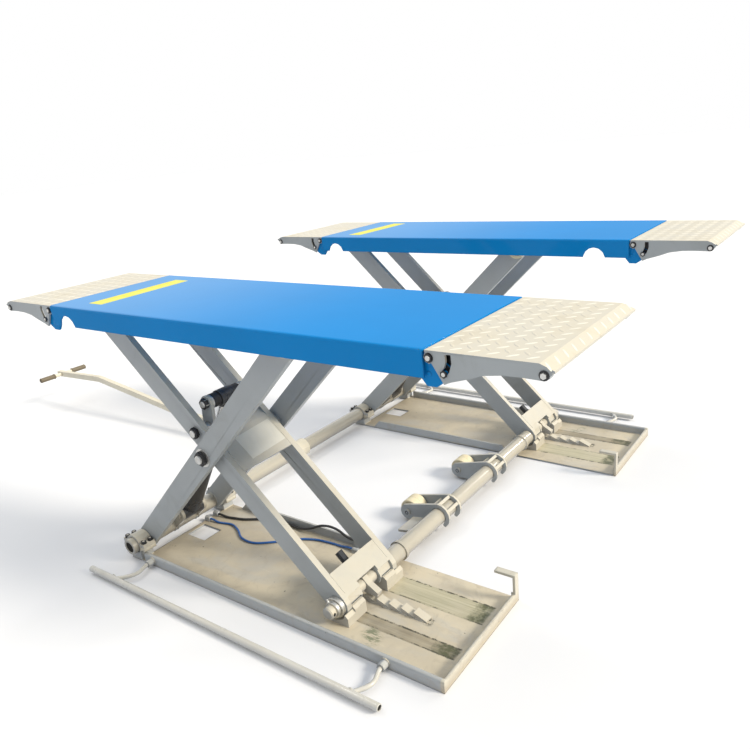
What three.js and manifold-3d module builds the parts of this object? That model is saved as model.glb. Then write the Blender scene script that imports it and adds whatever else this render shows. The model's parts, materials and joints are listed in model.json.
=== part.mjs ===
// Portable scissor car lift: two scissor units joined by two torsion tubes, with a tow bar.
// Millimetres, +Z up. +X is the front, where the scissors slide. The right unit is on the -Y side.
import * as THREE from "three";
import { mergeVertices } from "three/addons/utils/BufferGeometryUtils.js";
import Module from "manifold-3d";

const wasm = await Module();
wasm.setup();

// Facet counts
const roundSides = 14;
const pinSides = 8;
const smallSides = 8;
const hexSides = 6;
const hoseSides = 8;
const arcSteps = 3;
const cornerSteps = 1;

// Clearances and overruns
const seatGap = 0.3;
const runGap = 2;
const overrun = 5;
const weldLap = 1;

// Overall layout
const unitSpacing = 1291.5;
const deckLength = 1400;
const deckWidth = 461;
const deckTop = 926;
const deckRearOverhang = 78;
const deckSheet = 4;
const deckCorner = 6;
const skirtDepth = 62;

// Scissor
const legLength = 1200;
const legRadius = 38;
const legSheet = 20;
const innerLegFace = 104;
const outerLegFace = 142;
const fixedPivotX = -622;
const lowPivotHeight = 58;
const highPivotDrop = 44;
const lowestAngle = 3.4;

// Centre bolt and link bolt
const centreBoltRadius = 14;
const centreHeadRadius = 22;
const centreHeadHeight = 8;
const centreWasherRadius = 30;
const centreNutRadius = 24;
const centreNutHeight = 15;
const linkBoltRadius = 12;
const linkNutRadius = 19;
const linkNutHeight = 13;

// Tubes and slide shafts
const tubeRadius = 30;
const rearTubeBore = 20;
const rearTubeOverhang = 232;
const slideShaftRadius = 20;
const frontTubeStart = 129;
const shaftIntoTube = 60;
const frontCollarOffset = 188;
const frontCollarWidth = 13;
const frontCollarRadius = 35;
const shaftRingRadius = 33;
const shaftRingWidth = 15;
const shaftDiscRadius = 27;
const shaftDiscWidth = 12;
const shaftTip = 172;
const shaftTipHole = 5;
const shaftTipTaper = 4;

// Base tray
const trayRear = -599;
const trayFrontReach = 95.1;
const trayHalf = 213;
const traySheet = 6;
const railHeight = 38;
const outerRailThickness = 16;
const innerRailThickness = 8;
const railStart = -575;
const innerRailStart = -530;
const innerRailStop = 52.4;
const railEndSlope = 30;
const endPlateThickness = 10;
const endPlateHeight = 33;
const holeRear = -580;
const holeFront = -485;
const holeInner = -56;
const holeOuter = 23;
const fittingLength = 24;
const hoseFittingRadius = 9;
const supplyStartY = -125;
const airStartY = -85;
const hoseEndX = 60;
const hoseEndHeight = 40;

// Split clamps that carry the rear tube
const clampFace = 165;
const clampRadius = 39;
const clampEarReach = 58;
const clampEarHeight = 14;
const clampFootHalf = 30;
const clampBoltRadius = 8;
const clampBoltHead = 9;
const clampBoltInset = 11;

// Hold-down hook at the inner front corner
const hookWidth = 22;
const hookSheet = 7.5;
const hookReach = 68;

// Guard bars beside the base
const guardOffset = 344;
const guardHeight = 17;
const guardRadius = 11;
const guardRear = -695;
const guardFrontInset = 108;
const guardArmRadius = 7;
const guardArmHeight = 20;
const guardSocketRadius = 13;
const guardSocketGap = 1.5;
const guardSocketReach = 24;
const guardArmRear = -528;
const guardArmFrontInset = 185;
const guardArmKnee = 20;
const guardArmRearBack = 47;
const guardArmFrontBack = 22;

// Safety rack
const rackLead = 11.6;
const toothPitch = 45;
const toothCount = 5;
const rackHalfWidth = 14;
const rackCrest = 26.5;
const rackValley = 9;
const rackLand = 2;

// Slide shoes
const shoeInnerFace = 53;
const shoeOuterFace = 140;
const shoeReachFront = 48;
const shoeReachRear = 36;
const shoeSeatDrop = 4;
const shoeSole = 12;
const shoeNoseHeight = 39;
const shoeNoseChamfer = 10;

// Sleeves and cross plates of the inner frame
const sleeveRadius = 29;
const sleeveInnerFace = 45;
const sleeveRingRadius = 33;
const sleeveRingWidth = 6;
const crossPlateSheet = 8;
const midPlateAbove = 22;
const midPlateBelow = 112;
const midLipLength = 38;
const midLipDrop = 12;
const lowPlateLength = 84;
const lowWindowHalf = 45;
const lowWindowHeight = 17;

// Pawl and its air cylinder
const pawlHalfWidth = 11;
const pawlRingRadius = 27;
const pawlReach = 56;
const pawlDrop = 41;
const pawlTipHeight = 12;
const pawlTipSlope = 8;
const pawlTipLand = 4;
const pawlLift = 15;
const pawlTailReach = 31;
const pawlTailThickness = 9;
const airCylinderRadius = 13;
const airCylinderNear = 44;
const airCylinderFar = 122;
const airRodRadius = 5;
const airRodNear = 34;
const airBracketHalf = 10;

// Lift link
const linkPivotDistance = 84;
const linkLength = 80;
const linkLean = 83;
const linkFace = 62;
const linkSheet = 12;
const linkEndRadius = 24;
const linkShaftRadius = 12;
const linkSleeveRadius = 20;
const linkEndNutRadius = 18;
const linkEndNutHeight = 12;
const rodEyeHalfWidth = 27.7;

// Hydraulic cylinder
const footDistance = 80;
const footDrop = 5;
const footRadius = 26;
const footHalfWidth = 42;
const barrelRadius = 34;
const barrelTop = 318;
const barrelBore = 18.7;
const barrelFloor = 48;
const glandRadius = 36;
const glandLength = 22;
const portRadius = 10;
const portHeight = 13;
const portDistance = 64;
const rodRadius = 18;
const rodEyeRadius = 26;
const rodTail = 46;
const footLugSheet = 12;
const footPinRadius = 14;
const footPinHead = 6;

// Deck hinge pins, lugs and upper rollers
const hingePinRadius = 12;
const hingeLugSheet = 12;
const hingeLugRadius = 22;
const hingePinHead = 2;
const hingePinHeadRadius = 17;
const rollerPinRadius = 12;
const upperRollerRadius = 39.7;
const upperRollerWidth = 22;
const rollerPinHead = 4;
const rollerPinHeadRadius = 17;

// Deck notches, end plates and ribs
const notchRadius = 41;
const notchDrop = 7;
const deckEndInset = 14;
const deckEndDepth = 36;
const deckRibDepth = 12;
const rearRibX = -400;
const frontRibX = 60;

// Ramp hinge ears on the deck
const rampPivotOut = 14;
const rampPivotDrop = 17;
const earInset = 16.5;
const earSheet = 6;
const earReach = 48;
const earDepth = 65;
const earPinRadius = 7;
const earPinHeadRadius = 9.5;
const earPinHead = 3;
const earPinEdge = 1;
const stopDistance = 46;
const stopAngle = -42;
const stopBoltRadius = 6;
const stopHeadRadius = 8;
const earBoltRadius = 6;
const earBoltDrop = 38;

// Ramps
const rampReach = 269;
const rampGap = 4;
const rampSheet = 5;
const rampTopDrop = 1.5;
const rampTipLength = 30;
const rampTipDrop = 12;
const rampSideSheet = 6;
const rampSideInset = 8.5;
const rampSideDepth = 54;
const rampBossRadius = 13;
const slotTopAngle = 5;
const rampRollerRadius = 11;
const rampRollerInset = 21;
const rampRollerDrop = 7;
const rampRollerWidth = 16;
const rampRibDepth = 14;
const rampRibOffset = 74;

// Roller carriages hooked on the front tube
const carriagePlaces = [-170.5, 192.5];
const carriageHalfWidth = 43;
const carriageSheet = 9;
const carriageHookRadius = 47;
const carriageTipAngle = -48;
const carriageHeelAngle = 205;
const carriageArm = 133.4;
const carriageEndRadius = 31;
const transportRollerRadius = 40;
const floorGap = 0.5;
const transportRollerGap = 4;
const transportRollerGroove = 4;
const rollerBoltRadius = 9;
const rollerBoltHeadRadius = 14;
const rollerBoltHead = 7;
const spacerRadius = 8;
const spacerDistance = 38.8;

// Flat tabs on the front tube
const tabStart = 240;
const tabEnd = 335;
const tabReach = 92;
const tabSheet = 9;
const tabTilt = 10;

// Tow bar
const towCollarRadius = 39;
const towCollarHalf = 30;
const towBarHeight = 30;
const towBarWidth = 24;
const towKneeX = -1463;
const towKneeZ = 103;
const towBendX = -1772;
const towBendZ = 148;
const towElbowX = -2127;
const towElbowZ = 198;
const towEndX = -2556;
const towEndZ = 179;
const towHandleInset = 40;
const towHandleHalf = 140;
const towHandleRadius = 10;
const towGripRadius = 15;
const towGripLength = 88;

// Hoses on the right base
const supplyHoseRadius = 4.5;
const airHoseRadius = 4;
const supplyHoseSteps = 24;
const airHoseSteps = 26;
const guardArmSteps = 10;

// Worked out
const degree = Math.PI / 180;
const unitOffset = unitSpacing / 2;
const deckRear = fixedPivotX - deckRearOverhang;
const deckFront = deckRear + deckLength;
const deckSide = deckWidth / 2;
const earFace = deckSide - earInset;
const rampSideFace = deckSide - rampSideInset;
const highPivotHeight = deckTop - highPivotDrop;
const legRise = highPivotHeight - lowPivotHeight;
const legAngle = Math.asin(legRise / legLength);
const legHalf = legLength / 2;
const slidePivotX = fixedPivotX + legLength * Math.cos(legAngle);
const slidePivotLowered = fixedPivotX + legLength * Math.cos(lowestAngle * degree);
const rackStart = slidePivotX + rackLead;
const trayFront = slidePivotLowered + trayFrontReach;
const innerRailEnd = slidePivotX - innerRailStop;
const guardFront = trayFront - guardFrontInset;
const guardArmFront = trayFront - guardArmFrontInset;
const centreX = fixedPivotX + legHalf * Math.cos(legAngle);
const centreHeight = lowPivotHeight + legRise / 2;
const innerLegOut = innerLegFace + legSheet;
const outerLegOut = outerLegFace + legSheet;
const frontRampX = deckFront + rampPivotOut;
const rearRampX = deckRear - rampPivotOut;
const rampPivotHeight = deckTop - rampPivotDrop;
const overallFront = frontRampX + rampReach;
const overallCentre = (overallFront + towEndX) / 2;

// Places of the link and the cylinder in the X-Z plane
const linkTurn = linkLean * degree;
const linkPivot = new THREE.Vector2(
  centreX - linkPivotDistance * Math.cos(legAngle),
  centreHeight + linkPivotDistance * Math.sin(legAngle),
);
const rodPivot = new THREE.Vector2(
  linkPivot.x + linkLength * Math.cos(linkTurn),
  linkPivot.y + linkLength * Math.sin(linkTurn),
);
const footPivot = new THREE.Vector2(
  fixedPivotX + footDistance * Math.cos(legAngle) + footDrop * Math.sin(legAngle),
  lowPivotHeight + footDistance * Math.sin(legAngle) - footDrop * Math.cos(legAngle),
);
const stroke = rodPivot.clone().sub(footPivot);
const cylinderLength = stroke.length();
const cylinderTurn = stroke.angle();

const paint = {
  grey: new THREE.MeshStandardMaterial({ color: 0x9aa0a3, roughness: 0.45, metalness: 0.2 }),
  cream: new THREE.MeshStandardMaterial({ color: 0xc9c3b2, roughness: 0.5, metalness: 0.2 }),
  blue: new THREE.MeshStandardMaterial({ color: 0x1f6fc4, roughness: 0.3, metalness: 0.1 }),
  tread: new THREE.MeshStandardMaterial({ color: 0xcfcdc4, roughness: 0.5, metalness: 0.4 }),
  steel: new THREE.MeshStandardMaterial({ color: 0xb9b8b2, roughness: 0.35, metalness: 0.8 }),
  black: new THREE.MeshStandardMaterial({ color: 0x1c1d1f, roughness: 0.5, metalness: 0.3 }),
  nylon: new THREE.MeshStandardMaterial({ color: 0xe2cf9f, roughness: 0.55, metalness: 0 }),
  rubber: new THREE.MeshStandardMaterial({ color: 0x17181a, roughness: 0.7, metalness: 0 }),
  airline: new THREE.MeshStandardMaterial({ color: 0x1e56a8, roughness: 0.4, metalness: 0 }),
};

// A closed geometry as a solid that can be joined and cut
function solid(geometry) {
  const flat = geometry.index ? geometry.toNonIndexed() : geometry.clone();
  const bare = new THREE.BufferGeometry().setAttribute("position", flat.getAttribute("position"));
  const merged = mergeVertices(bare, 1e-4);
  const body = new wasm.Mesh({
    numProp: 3,
    vertProperties: new Float32Array(merged.attributes.position.array),
    triVerts: new Uint32Array(merged.index.array),
  });
  return new wasm.Manifold(body);
}

function join(...solids) {
  return solids.reduce((all, next) => all.add(next));
}

function cut(body, ...tools) {
  return tools.reduce((left, tool) => left.subtract(tool), body);
}

function geometryOf(body) {
  const made = body.getMesh();
  const points = new Float32Array(made.numVert * 3);
  for (let i = 0; i < made.numVert; i++) {
    const start = i * made.numProp;
    points.set(made.vertProperties.subarray(start, start + 3), i * 3);
  }
  const geometry = new THREE.BufferGeometry();
  geometry.setAttribute("position", new THREE.BufferAttribute(points, 3));
  geometry.setIndex(new THREE.BufferAttribute(new Uint32Array(made.triVerts), 1));
  geometry.computeVertexNormals();
  return geometry;
}

function add(group, name, body, material) {
  const mesh = new THREE.Mesh(geometryOf(body), material);
  mesh.name = name;
  group.add(mesh);
}

function groupAt(parent, x, z, turn = 0) {
  const group = new THREE.Group();
  group.position.set(x, 0, z);
  group.rotation.y = -turn;
  parent.add(group);
  return group;
}

function box(x0, x1, y0, y1, z0, z1) {
  const geometry = new THREE.BoxGeometry(x1 - x0, y1 - y0, z1 - z0);
  geometry.translate((x0 + x1) / 2, (y0 + y1) / 2, (z0 + z1) / 2);
  return solid(geometry);
}

// An outline in the X-Z plane, extruded from y0 to y1
function plate(shape, y0, y1) {
  const geometry = new THREE.ExtrudeGeometry(shape, {
    depth: y1 - y0,
    bevelEnabled: false,
    curveSegments: arcSteps,
  });
  geometry.rotateX(Math.PI / 2);
  geometry.translate(0, y1, 0);
  return solid(geometry);
}

// An outline in the Y-Z plane, extruded from x0 to x1
function profile(shape, x0, x1, steps) {
  const geometry = new THREE.ExtrudeGeometry(shape, {
    depth: x1 - x0,
    bevelEnabled: false,
    curveSegments: steps,
  });
  const turn = new THREE.Matrix4().makeBasis(
    new THREE.Vector3(0, 1, 0),
    new THREE.Vector3(0, 0, 1),
    new THREE.Vector3(1, 0, 0),
  );
  geometry.applyMatrix4(turn);
  geometry.translate(x0, 0, 0);
  return solid(geometry);
}

function polygon(points) {
  return new THREE.Shape(points.map(([x, z]) => new THREE.Vector2(x, z)));
}

// Two round ends and the straight edges between them
function slotShape(xa, za, xb, zb, radius) {
  const turn = Math.atan2(zb - za, xb - xa);
  const shape = new THREE.Shape();
  shape.absarc(xa, za, radius, turn + Math.PI / 2, turn + (3 * Math.PI) / 2, false);
  shape.absarc(xb, zb, radius, turn - Math.PI / 2, turn + Math.PI / 2, false);
  return shape;
}

// A round bar along Y
function bar(radius, x, z, y0, y1, sides = pinSides) {
  const geometry = new THREE.CylinderGeometry(radius, radius, y1 - y0, sides);
  geometry.translate(x, (y0 + y1) / 2, z);
  return solid(geometry);
}

// A tool that cuts a round hole along Y, whose flats all clear a bar of the given radius
function hole(radius, x, z, y0, y1, sides = pinSides) {
  return bar((radius + seatGap) / Math.cos(Math.PI / sides), x, z, y0, y1, sides);
}

// A round bar along X
function barAlongX(radius, x0, x1, y, z, sides = roundSides) {
  const geometry = new THREE.CylinderGeometry(radius, radius, x1 - x0, sides);
  geometry.rotateZ(Math.PI / 2);
  geometry.translate((x0 + x1) / 2, y, z);
  return solid(geometry);
}

// A round bar along Z
function post(radius, x, y, z0, z1, sides = smallSides) {
  const geometry = new THREE.CylinderGeometry(radius, radius, z1 - z0, sides);
  geometry.rotateX(Math.PI / 2);
  geometry.translate(x, y, (z0 + z1) / 2);
  return solid(geometry);
}

// A round bar along a smooth line of points
function bentRod(points, radius, sides, steps) {
  const path = new THREE.CatmullRomCurve3(points.map(([x, y, z]) => new THREE.Vector3(x, y, z)));
  const ring = [];
  for (let i = 0; i < sides; i++) {
    const turn = (2 * Math.PI * i) / sides;
    ring.push(new THREE.Vector2(radius * Math.cos(turn), radius * Math.sin(turn)));
  }
  const geometry = new THREE.ExtrudeGeometry(new THREE.Shape(ring), {
    steps,
    bevelEnabled: false,
    extrudePath: path,
  });
  return solid(geometry);
}

function both(make) {
  return join(make(1), make(-1));
}

// Lowest and highest Y of a piece between two distances from the middle, on one side
function reach(side, near, far) {
  return side > 0 ? [near, far] : [-far, -near];
}

// Outer leg: the rear tube passes through it at x = 0, and the roller's pin stands out at the top
function outerLeg(side) {
  const [low, high] = reach(side, outerLegFace, outerLegOut);
  const sheet = plate(slotShape(0, 0, legLength, 0, legRadius), low, high);
  const rollerEnd = outerLegOut + runGap + upperRollerWidth + seatGap;
  const bored = cut(
    sheet,
    hole(tubeRadius, 0, 0, low - overrun, high + overrun),
    hole(centreBoltRadius, legHalf, 0, low - overrun, high + overrun),
  );
  return join(
    bored,
    bar(rollerPinRadius, legLength, 0, ...reach(side, outerLegFace + weldLap, rollerEnd)),
    bar(rollerPinHeadRadius, legLength, 0, ...reach(side, rollerEnd, rollerEnd + rollerPinHead)),
  );
}

// Inner leg: the slide shaft passes through it at x = +half, and the deck pin stands out at x = -half
function innerLeg(side) {
  const [low, high] = reach(side, innerLegFace, innerLegOut);
  const sheet = plate(slotShape(-legHalf, 0, legHalf, 0, legRadius), low, high);
  const bored = cut(
    sheet,
    hole(slideShaftRadius, legHalf, 0, low - overrun, high + overrun),
    hole(centreBoltRadius, 0, 0, low - overrun, high + overrun),
    hole(linkBoltRadius, -linkPivotDistance, 0, low - overrun, high + overrun),
  );
  const lugOut = innerLegOut + runGap + hingeLugSheet;
  return join(
    bored,
    bar(hingePinRadius, -legHalf, 0, ...reach(side, innerLegFace + weldLap, lugOut + seatGap)),
    bar(
      hingePinHeadRadius,
      -legHalf,
      0,
      ...reach(side, lugOut + seatGap, lugOut + seatGap + hingePinHead),
    ),
  );
}

// Bent plate across the inner legs beside the centre bolt
function midCrossPlate() {
  const top = legRadius;
  const low = legRadius - crossPlateSheet;
  const lipEnd = -midPlateAbove - midLipLength;
  const shape = polygon([
    [midPlateBelow, low],
    [midPlateBelow, top],
    [-midPlateAbove, top],
    [lipEnd, top - midLipDrop],
    [lipEnd, low - midLipDrop],
    [-midPlateAbove, low],
  ]);
  return plate(shape, -innerLegFace - weldLap, innerLegFace + weldLap);
}

// Plate across the lower ends of the inner legs, with a window for the pawl, and two sleeves
function lowerCrossPlate() {
  const wide = innerLegFace + weldLap;
  const low = legRadius - crossPlateSheet;
  const sheet = box(legHalf - lowPlateLength, legHalf, -wide, wide, low - weldLap, legRadius);
  const windowX = legHalf - lowWindowHeight;
  const window = box(
    windowX,
    legHalf + overrun,
    -lowWindowHalf,
    lowWindowHalf,
    low - overrun,
    legRadius + overrun,
  );
  const sleeves = both((side) =>
    join(
      bar(sleeveRadius, legHalf, 0, ...reach(side, sleeveInnerFace, wide)),
      bar(
        sleeveRingRadius,
        legHalf,
        0,
        ...reach(side, sleeveInnerFace, sleeveInnerFace + sleeveRingWidth),
      ),
    ),
  );
  const shaftHole = hole(slideShaftRadius, legHalf, 0, -wide - overrun, wide + overrun);
  return cut(join(cut(sheet, window), sleeves), shaftHole);
}

function innerFrame() {
  return join(innerLeg(1), innerLeg(-1), midCrossPlate(), lowerCrossPlate());
}

// Centre bolt with its inner head, the washer between the legs, and the outer nut
function centreBolt(side) {
  const headFar = innerLegFace - seatGap;
  const nutNear = outerLegOut + seatGap;
  const nutFar = nutNear + centreNutHeight;
  const washer = reach(side, innerLegOut + seatGap, outerLegFace - seatGap);
  return join(
    bar(centreBoltRadius, 0, 0, ...reach(side, headFar - centreHeadHeight, nutFar + runGap)),
    bar(centreHeadRadius, 0, 0, ...reach(side, headFar - centreHeadHeight, headFar), hexSides),
    bar(centreWasherRadius, 0, 0, ...washer),
    bar(centreWasherRadius, 0, 0, ...reach(side, nutNear, nutNear + runGap)),
    bar(centreNutRadius, 0, 0, ...reach(side, nutNear, nutFar), hexSides),
  );
}

// Bolt that carries the lift link on one inner leg
function linkBolt(side) {
  const headFar = linkFace - seatGap;
  const spacer = reach(side, linkFace + linkSheet + seatGap, innerLegFace - seatGap);
  const nutNear = innerLegOut + seatGap;
  const nutFar = nutNear + linkNutHeight;
  return join(
    bar(linkBoltRadius, 0, 0, ...reach(side, headFar - centreHeadHeight, nutFar)),
    bar(linkNutRadius, 0, 0, ...reach(side, headFar - centreHeadHeight, headFar), hexSides),
    bar(linkNutRadius, 0, 0, ...spacer),
    bar(linkNutRadius, 0, 0, ...reach(side, nutNear, nutFar), hexSides),
  );
}

// Two link plates, joined by the cross shaft that carries the rod's eye
function liftLink() {
  const sides = both((side) => {
    const [low, high] = reach(side, linkFace, linkFace + linkSheet);
    const sheet = plate(slotShape(0, 0, linkLength, 0, linkEndRadius), low, high);
    const nut = reach(side, linkFace + linkSheet - weldLap, linkFace + linkSheet + linkEndNutHeight);
    return join(
      cut(sheet, hole(linkBoltRadius, 0, 0, low - overrun, high + overrun)),
      bar(linkSleeveRadius, linkLength, 0, ...reach(side, rodEyeHalfWidth + seatGap, linkFace + weldLap)),
      bar(linkEndNutRadius, linkLength, 0, ...nut, hexSides),
    );
  });
  const shaftHalf = linkFace + linkSheet;
  return join(sides, bar(linkShaftRadius, linkLength, 0, -shaftHalf, shaftHalf));
}

// Rod: its eye is at the origin and it runs back along -X into the barrel
function cylinderRod() {
  const rodLength = cylinderLength - barrelTop + rodTail;
  const body = join(
    bar(rodEyeRadius, 0, 0, -rodEyeHalfWidth, rodEyeHalfWidth, roundSides),
    barAlongX(rodRadius, -rodLength, 0, 0, 0),
  );
  return cut(body, hole(linkShaftRadius, 0, 0, -linkFace, linkFace));
}

// Barrel: its foot is at the origin and it points along +X
function cylinderBarrel() {
  const body = join(
    bar(footRadius, 0, 0, -footHalfWidth, footHalfWidth, roundSides),
    barAlongX(barrelRadius, footRadius - weldLap, barrelTop, 0, 0),
    barAlongX(glandRadius, barrelTop - glandLength, barrelTop, 0, 0),
    barAlongX(footRadius, 0, footRadius + weldLap, 0, 0, smallSides),
    post(portRadius, portDistance, 0, 0, barrelRadius + portHeight),
  );
  return cut(body, barAlongX(barrelBore, barrelFloor, barrelTop + overrun, 0, 0));
}

// Shaft under the inner legs: ring, disc and drilled tip outside, and an end inside the front tube
function slideShaft() {
  const innerEnd = frontTubeStart + shaftIntoTube;
  const ringNear = innerLegOut + seatGap;
  const ringFar = ringNear + shaftRingWidth;
  const discFar = ringFar + shaftDiscWidth;
  const tip = new THREE.CylinderGeometry(
    slideShaftRadius - shaftTipTaper,
    slideShaftRadius,
    shaftTipTaper,
    roundSides,
  );
  tip.translate(0, shaftTip - shaftTipTaper / 2, 0);
  const body = join(
    bar(slideShaftRadius, 0, 0, -innerEnd, shaftTip - shaftTipTaper, roundSides),
    solid(tip),
    bar(shaftRingRadius, 0, 0, ringNear, ringFar, roundSides),
    bar(shaftDiscRadius, 0, 0, ringFar, discFar, roundSides),
  );
  const reachX = slideShaftRadius + overrun;
  const tipHole = barAlongX(shaftTipHole, -reachX, reachX, (discFar + shaftTip) / 2, 0, smallSides);
  return cut(body, tipHole);
}

// Slide shoe: a sole with a nose in front of the leg, and a cradle under the sleeve
function slideShoe(side) {
  const floor = traySheet + seatGap - lowPivotHeight;
  const sole = floor + shoeSole;
  const noseTop = floor + shoeNoseHeight;
  const noseBack = shoeReachFront - shoeNoseChamfer;
  const outline = polygon([
    [-shoeReachRear, floor],
    [shoeReachFront, floor],
    [shoeReachFront, noseTop - shoeNoseChamfer],
    [noseBack, noseTop],
    [0, noseTop],
    [0, sole],
    [-shoeReachRear, sole],
  ]);
  const cradle = polygon([
    [-shoeReachRear, floor],
    [shoeReachFront, floor],
    [shoeReachFront, noseTop],
    [noseBack, -shoeSeatDrop],
    [-shoeReachRear, -shoeSeatDrop],
  ]);
  const legSide = innerLegFace - seatGap;
  const legRoom = reach(side, legSide, shoeOuterFace + overrun);
  return cut(
    join(
      plate(outline, ...reach(side, legSide - overrun, shoeOuterFace)),
      plate(cradle, ...reach(side, shoeInnerFace, legSide)),
    ),
    hole(legRadius, 0, 0, ...legRoom),
    hole(sleeveRadius, 0, 0, ...reach(side, 0, legSide + overrun)),
  );
}

// Pawl on the slide shaft, lifted clear of the rack, its nose pointing forward and down
function pawl() {
  const ring = new THREE.Shape();
  ring.absarc(0, 0, pawlRingRadius, 0, 2 * Math.PI, false);
  const nose = polygon([
    [0, -pawlRingRadius + weldLap],
    [pawlReach - pawlTipSlope - pawlTipLand, -pawlDrop],
    [pawlReach - pawlTipSlope, -pawlDrop],
    [pawlReach, -pawlDrop + pawlTipHeight],
    [pawlRingRadius / 2, pawlRingRadius / 2],
  ]);
  const geometry = geometryOf(
    join(plate(ring, -pawlHalfWidth, pawlHalfWidth), plate(nose, -pawlHalfWidth, pawlHalfWidth)),
  );
  geometry.rotateY(-pawlLift * degree);
  const tail = box(-pawlTailReach, 0, -pawlHalfWidth / 2, pawlHalfWidth / 2, 0, pawlTailThickness);
  return cut(
    join(solid(geometry), tail),
    hole(slideShaftRadius, 0, 0, -pawlHalfWidth - overrun, pawlHalfWidth + overrun),
  );
}

// Air cylinder of the pawl, on a bracket under the lower cross plate
function pawlAirCylinder() {
  const bracketTop = legRadius - crossPlateSheet - weldLap - seatGap;
  const bracketX = legHalf - lowPlateLength;
  return join(
    barAlongX(airCylinderRadius, legHalf - airCylinderFar, legHalf - airCylinderNear, 0, 0, smallSides),
    barAlongX(airRodRadius, legHalf - airCylinderNear - weldLap, legHalf - airRodNear, 0, 0, smallSides),
    box(
      bracketX,
      bracketX + 2 * airBracketHalf,
      -airBracketHalf,
      airBracketHalf,
      0,
      bracketTop,
    ),
  );
}

function upperRoller(side) {
  const span = reach(side, outerLegOut + runGap, outerLegOut + runGap + upperRollerWidth);
  return cut(
    bar(upperRollerRadius, 0, 0, ...span, roundSides),
    hole(rollerPinRadius, 0, 0, span[0] - overrun, span[1] + overrun),
  );
}

// Half of a split clamp: the lower one stands on the tray, and the upper one carries the bolts
function clampRing(side, above) {
  const [low, high] = reach(side, clampFace, trayHalf);
  const lift = above ? seatGap : -seatGap;
  const ears = above
    ? box(-clampEarReach, clampEarReach, low, high, lift, clampEarHeight)
    : box(-clampEarReach, clampEarReach, low, high, -clampEarHeight, lift);
  const half = above
    ? box(-clampRadius, clampRadius, low - overrun, high + overrun, lift, clampRadius + overrun)
    : box(-clampRadius, clampRadius, low - overrun, high + overrun, -clampRadius - overrun, lift);
  const ring = bar(clampRadius, 0, 0, low, high, roundSides).intersect(half);
  const bore = hole(tubeRadius, 0, 0, low - overrun, high + overrun);
  return [ring, ears, bore];
}

function clampCap(side) {
  const [ring, ears, bore] = clampRing(side, true);
  const [low, high] = reach(side, clampFace, trayHalf);
  const boltX = clampEarReach - clampBoltInset;
  const heads = [];
  for (const x of [-boltX, boltX]) {
    for (const y of [low + clampBoltInset, high - clampBoltInset]) {
      heads.push(
        post(clampBoltRadius, x, y, clampEarHeight - weldLap, clampEarHeight + clampBoltHead, hexSides),
      );
    }
  }
  return join(cut(join(ring, ears), bore), ...heads);
}

function clampSeat(side) {
  const [ring, ears, bore] = clampRing(side, false);
  const [low, high] = reach(side, clampFace, trayHalf);
  const foot = box(-clampFootHalf, clampFootHalf, low, high, -lowPivotHeight, -tubeRadius / 2);
  const geometry = geometryOf(cut(join(ring, ears, foot), bore));
  geometry.translate(fixedPivotX, 0, lowPivotHeight);
  return solid(geometry);
}

function outerRail() {
  const half = outerRailThickness / 2;
  const middle = trayHalf - half;
  const shape = new THREE.Shape();
  shape.moveTo(middle - half, 0);
  shape.lineTo(middle + half, 0);
  shape.lineTo(middle + half, railHeight - half);
  shape.absarc(middle, railHeight - half, half, 0, Math.PI, false);
  return profile(shape, railStart, trayFront, 2 * cornerSteps);
}

function innerRail() {
  const shape = polygon([
    [innerRailStart, 0],
    [innerRailEnd, 0],
    [innerRailEnd, railHeight - railEndSlope],
    [innerRailEnd - railEndSlope, railHeight],
    [innerRailStart + railEndSlope, railHeight],
    [innerRailStart, railHeight - railEndSlope],
  ]);
  return plate(shape, -trayHalf, -trayHalf + innerRailThickness);
}

// Strap that stands at the inner front corner and reaches back over the lowered front tube
function holdDownHook() {
  const innerSide = -trayHalf + hookWidth;
  const top = lowPivotHeight + tubeRadius + runGap + hookSheet;
  const back = trayFront - hookReach;
  return join(
    box(trayFront - hookSheet, trayFront, -trayHalf, innerSide, 0, top),
    box(back, trayFront, -trayHalf, innerSide, top - hookSheet, top),
  );
}

// Where the two hoses of the right base start and end, across the tray
const supplyStart = [trayRear + fittingLength, supplyStartY, traySheet + hoseFittingRadius];
const airStart = [trayRear + fittingLength, airStartY, traySheet + hoseFittingRadius];
const supplyEnd = [hoseEndX, -trayHalf + 2 * hoseFittingRadius, hoseEndHeight];
const airEnd = [hoseEndX, -trayHalf + 4 * hoseFittingRadius, traySheet + hoseFittingRadius];

function hoseFittings() {
  const starts = [supplyStart, airStart].map(([x, y, z]) =>
    barAlongX(hoseFittingRadius, trayRear, x, y, z, hexSides),
  );
  const ends = [supplyEnd, airEnd].map(([x, y, z]) =>
    barAlongX(hoseFittingRadius, x, x + fittingLength, y, z, hexSides),
  );
  const feet = [supplyStart, airStart].map(([x, y, z]) =>
    box(trayRear, x, y - hoseFittingRadius, y + hoseFittingRadius, traySheet - weldLap, z),
  );
  const endFeet = [supplyEnd, airEnd].map(([x, y, z]) =>
    box(x, x + fittingLength, y - hoseFittingRadius, y + hoseFittingRadius, traySheet - weldLap, z),
  );
  return join(...starts, ...ends, ...feet, ...endFeet);
}

function guardSocket(x) {
  const inner = trayHalf - outerRailThickness / 2;
  return bar(guardSocketRadius, x, guardArmHeight, inner, trayHalf + guardSocketReach);
}

function guardSocketHole(x) {
  const far = trayHalf + guardSocketReach + overrun;
  return bar(guardArmRadius + guardSocketGap, x, guardArmHeight, trayHalf, far);
}

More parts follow.
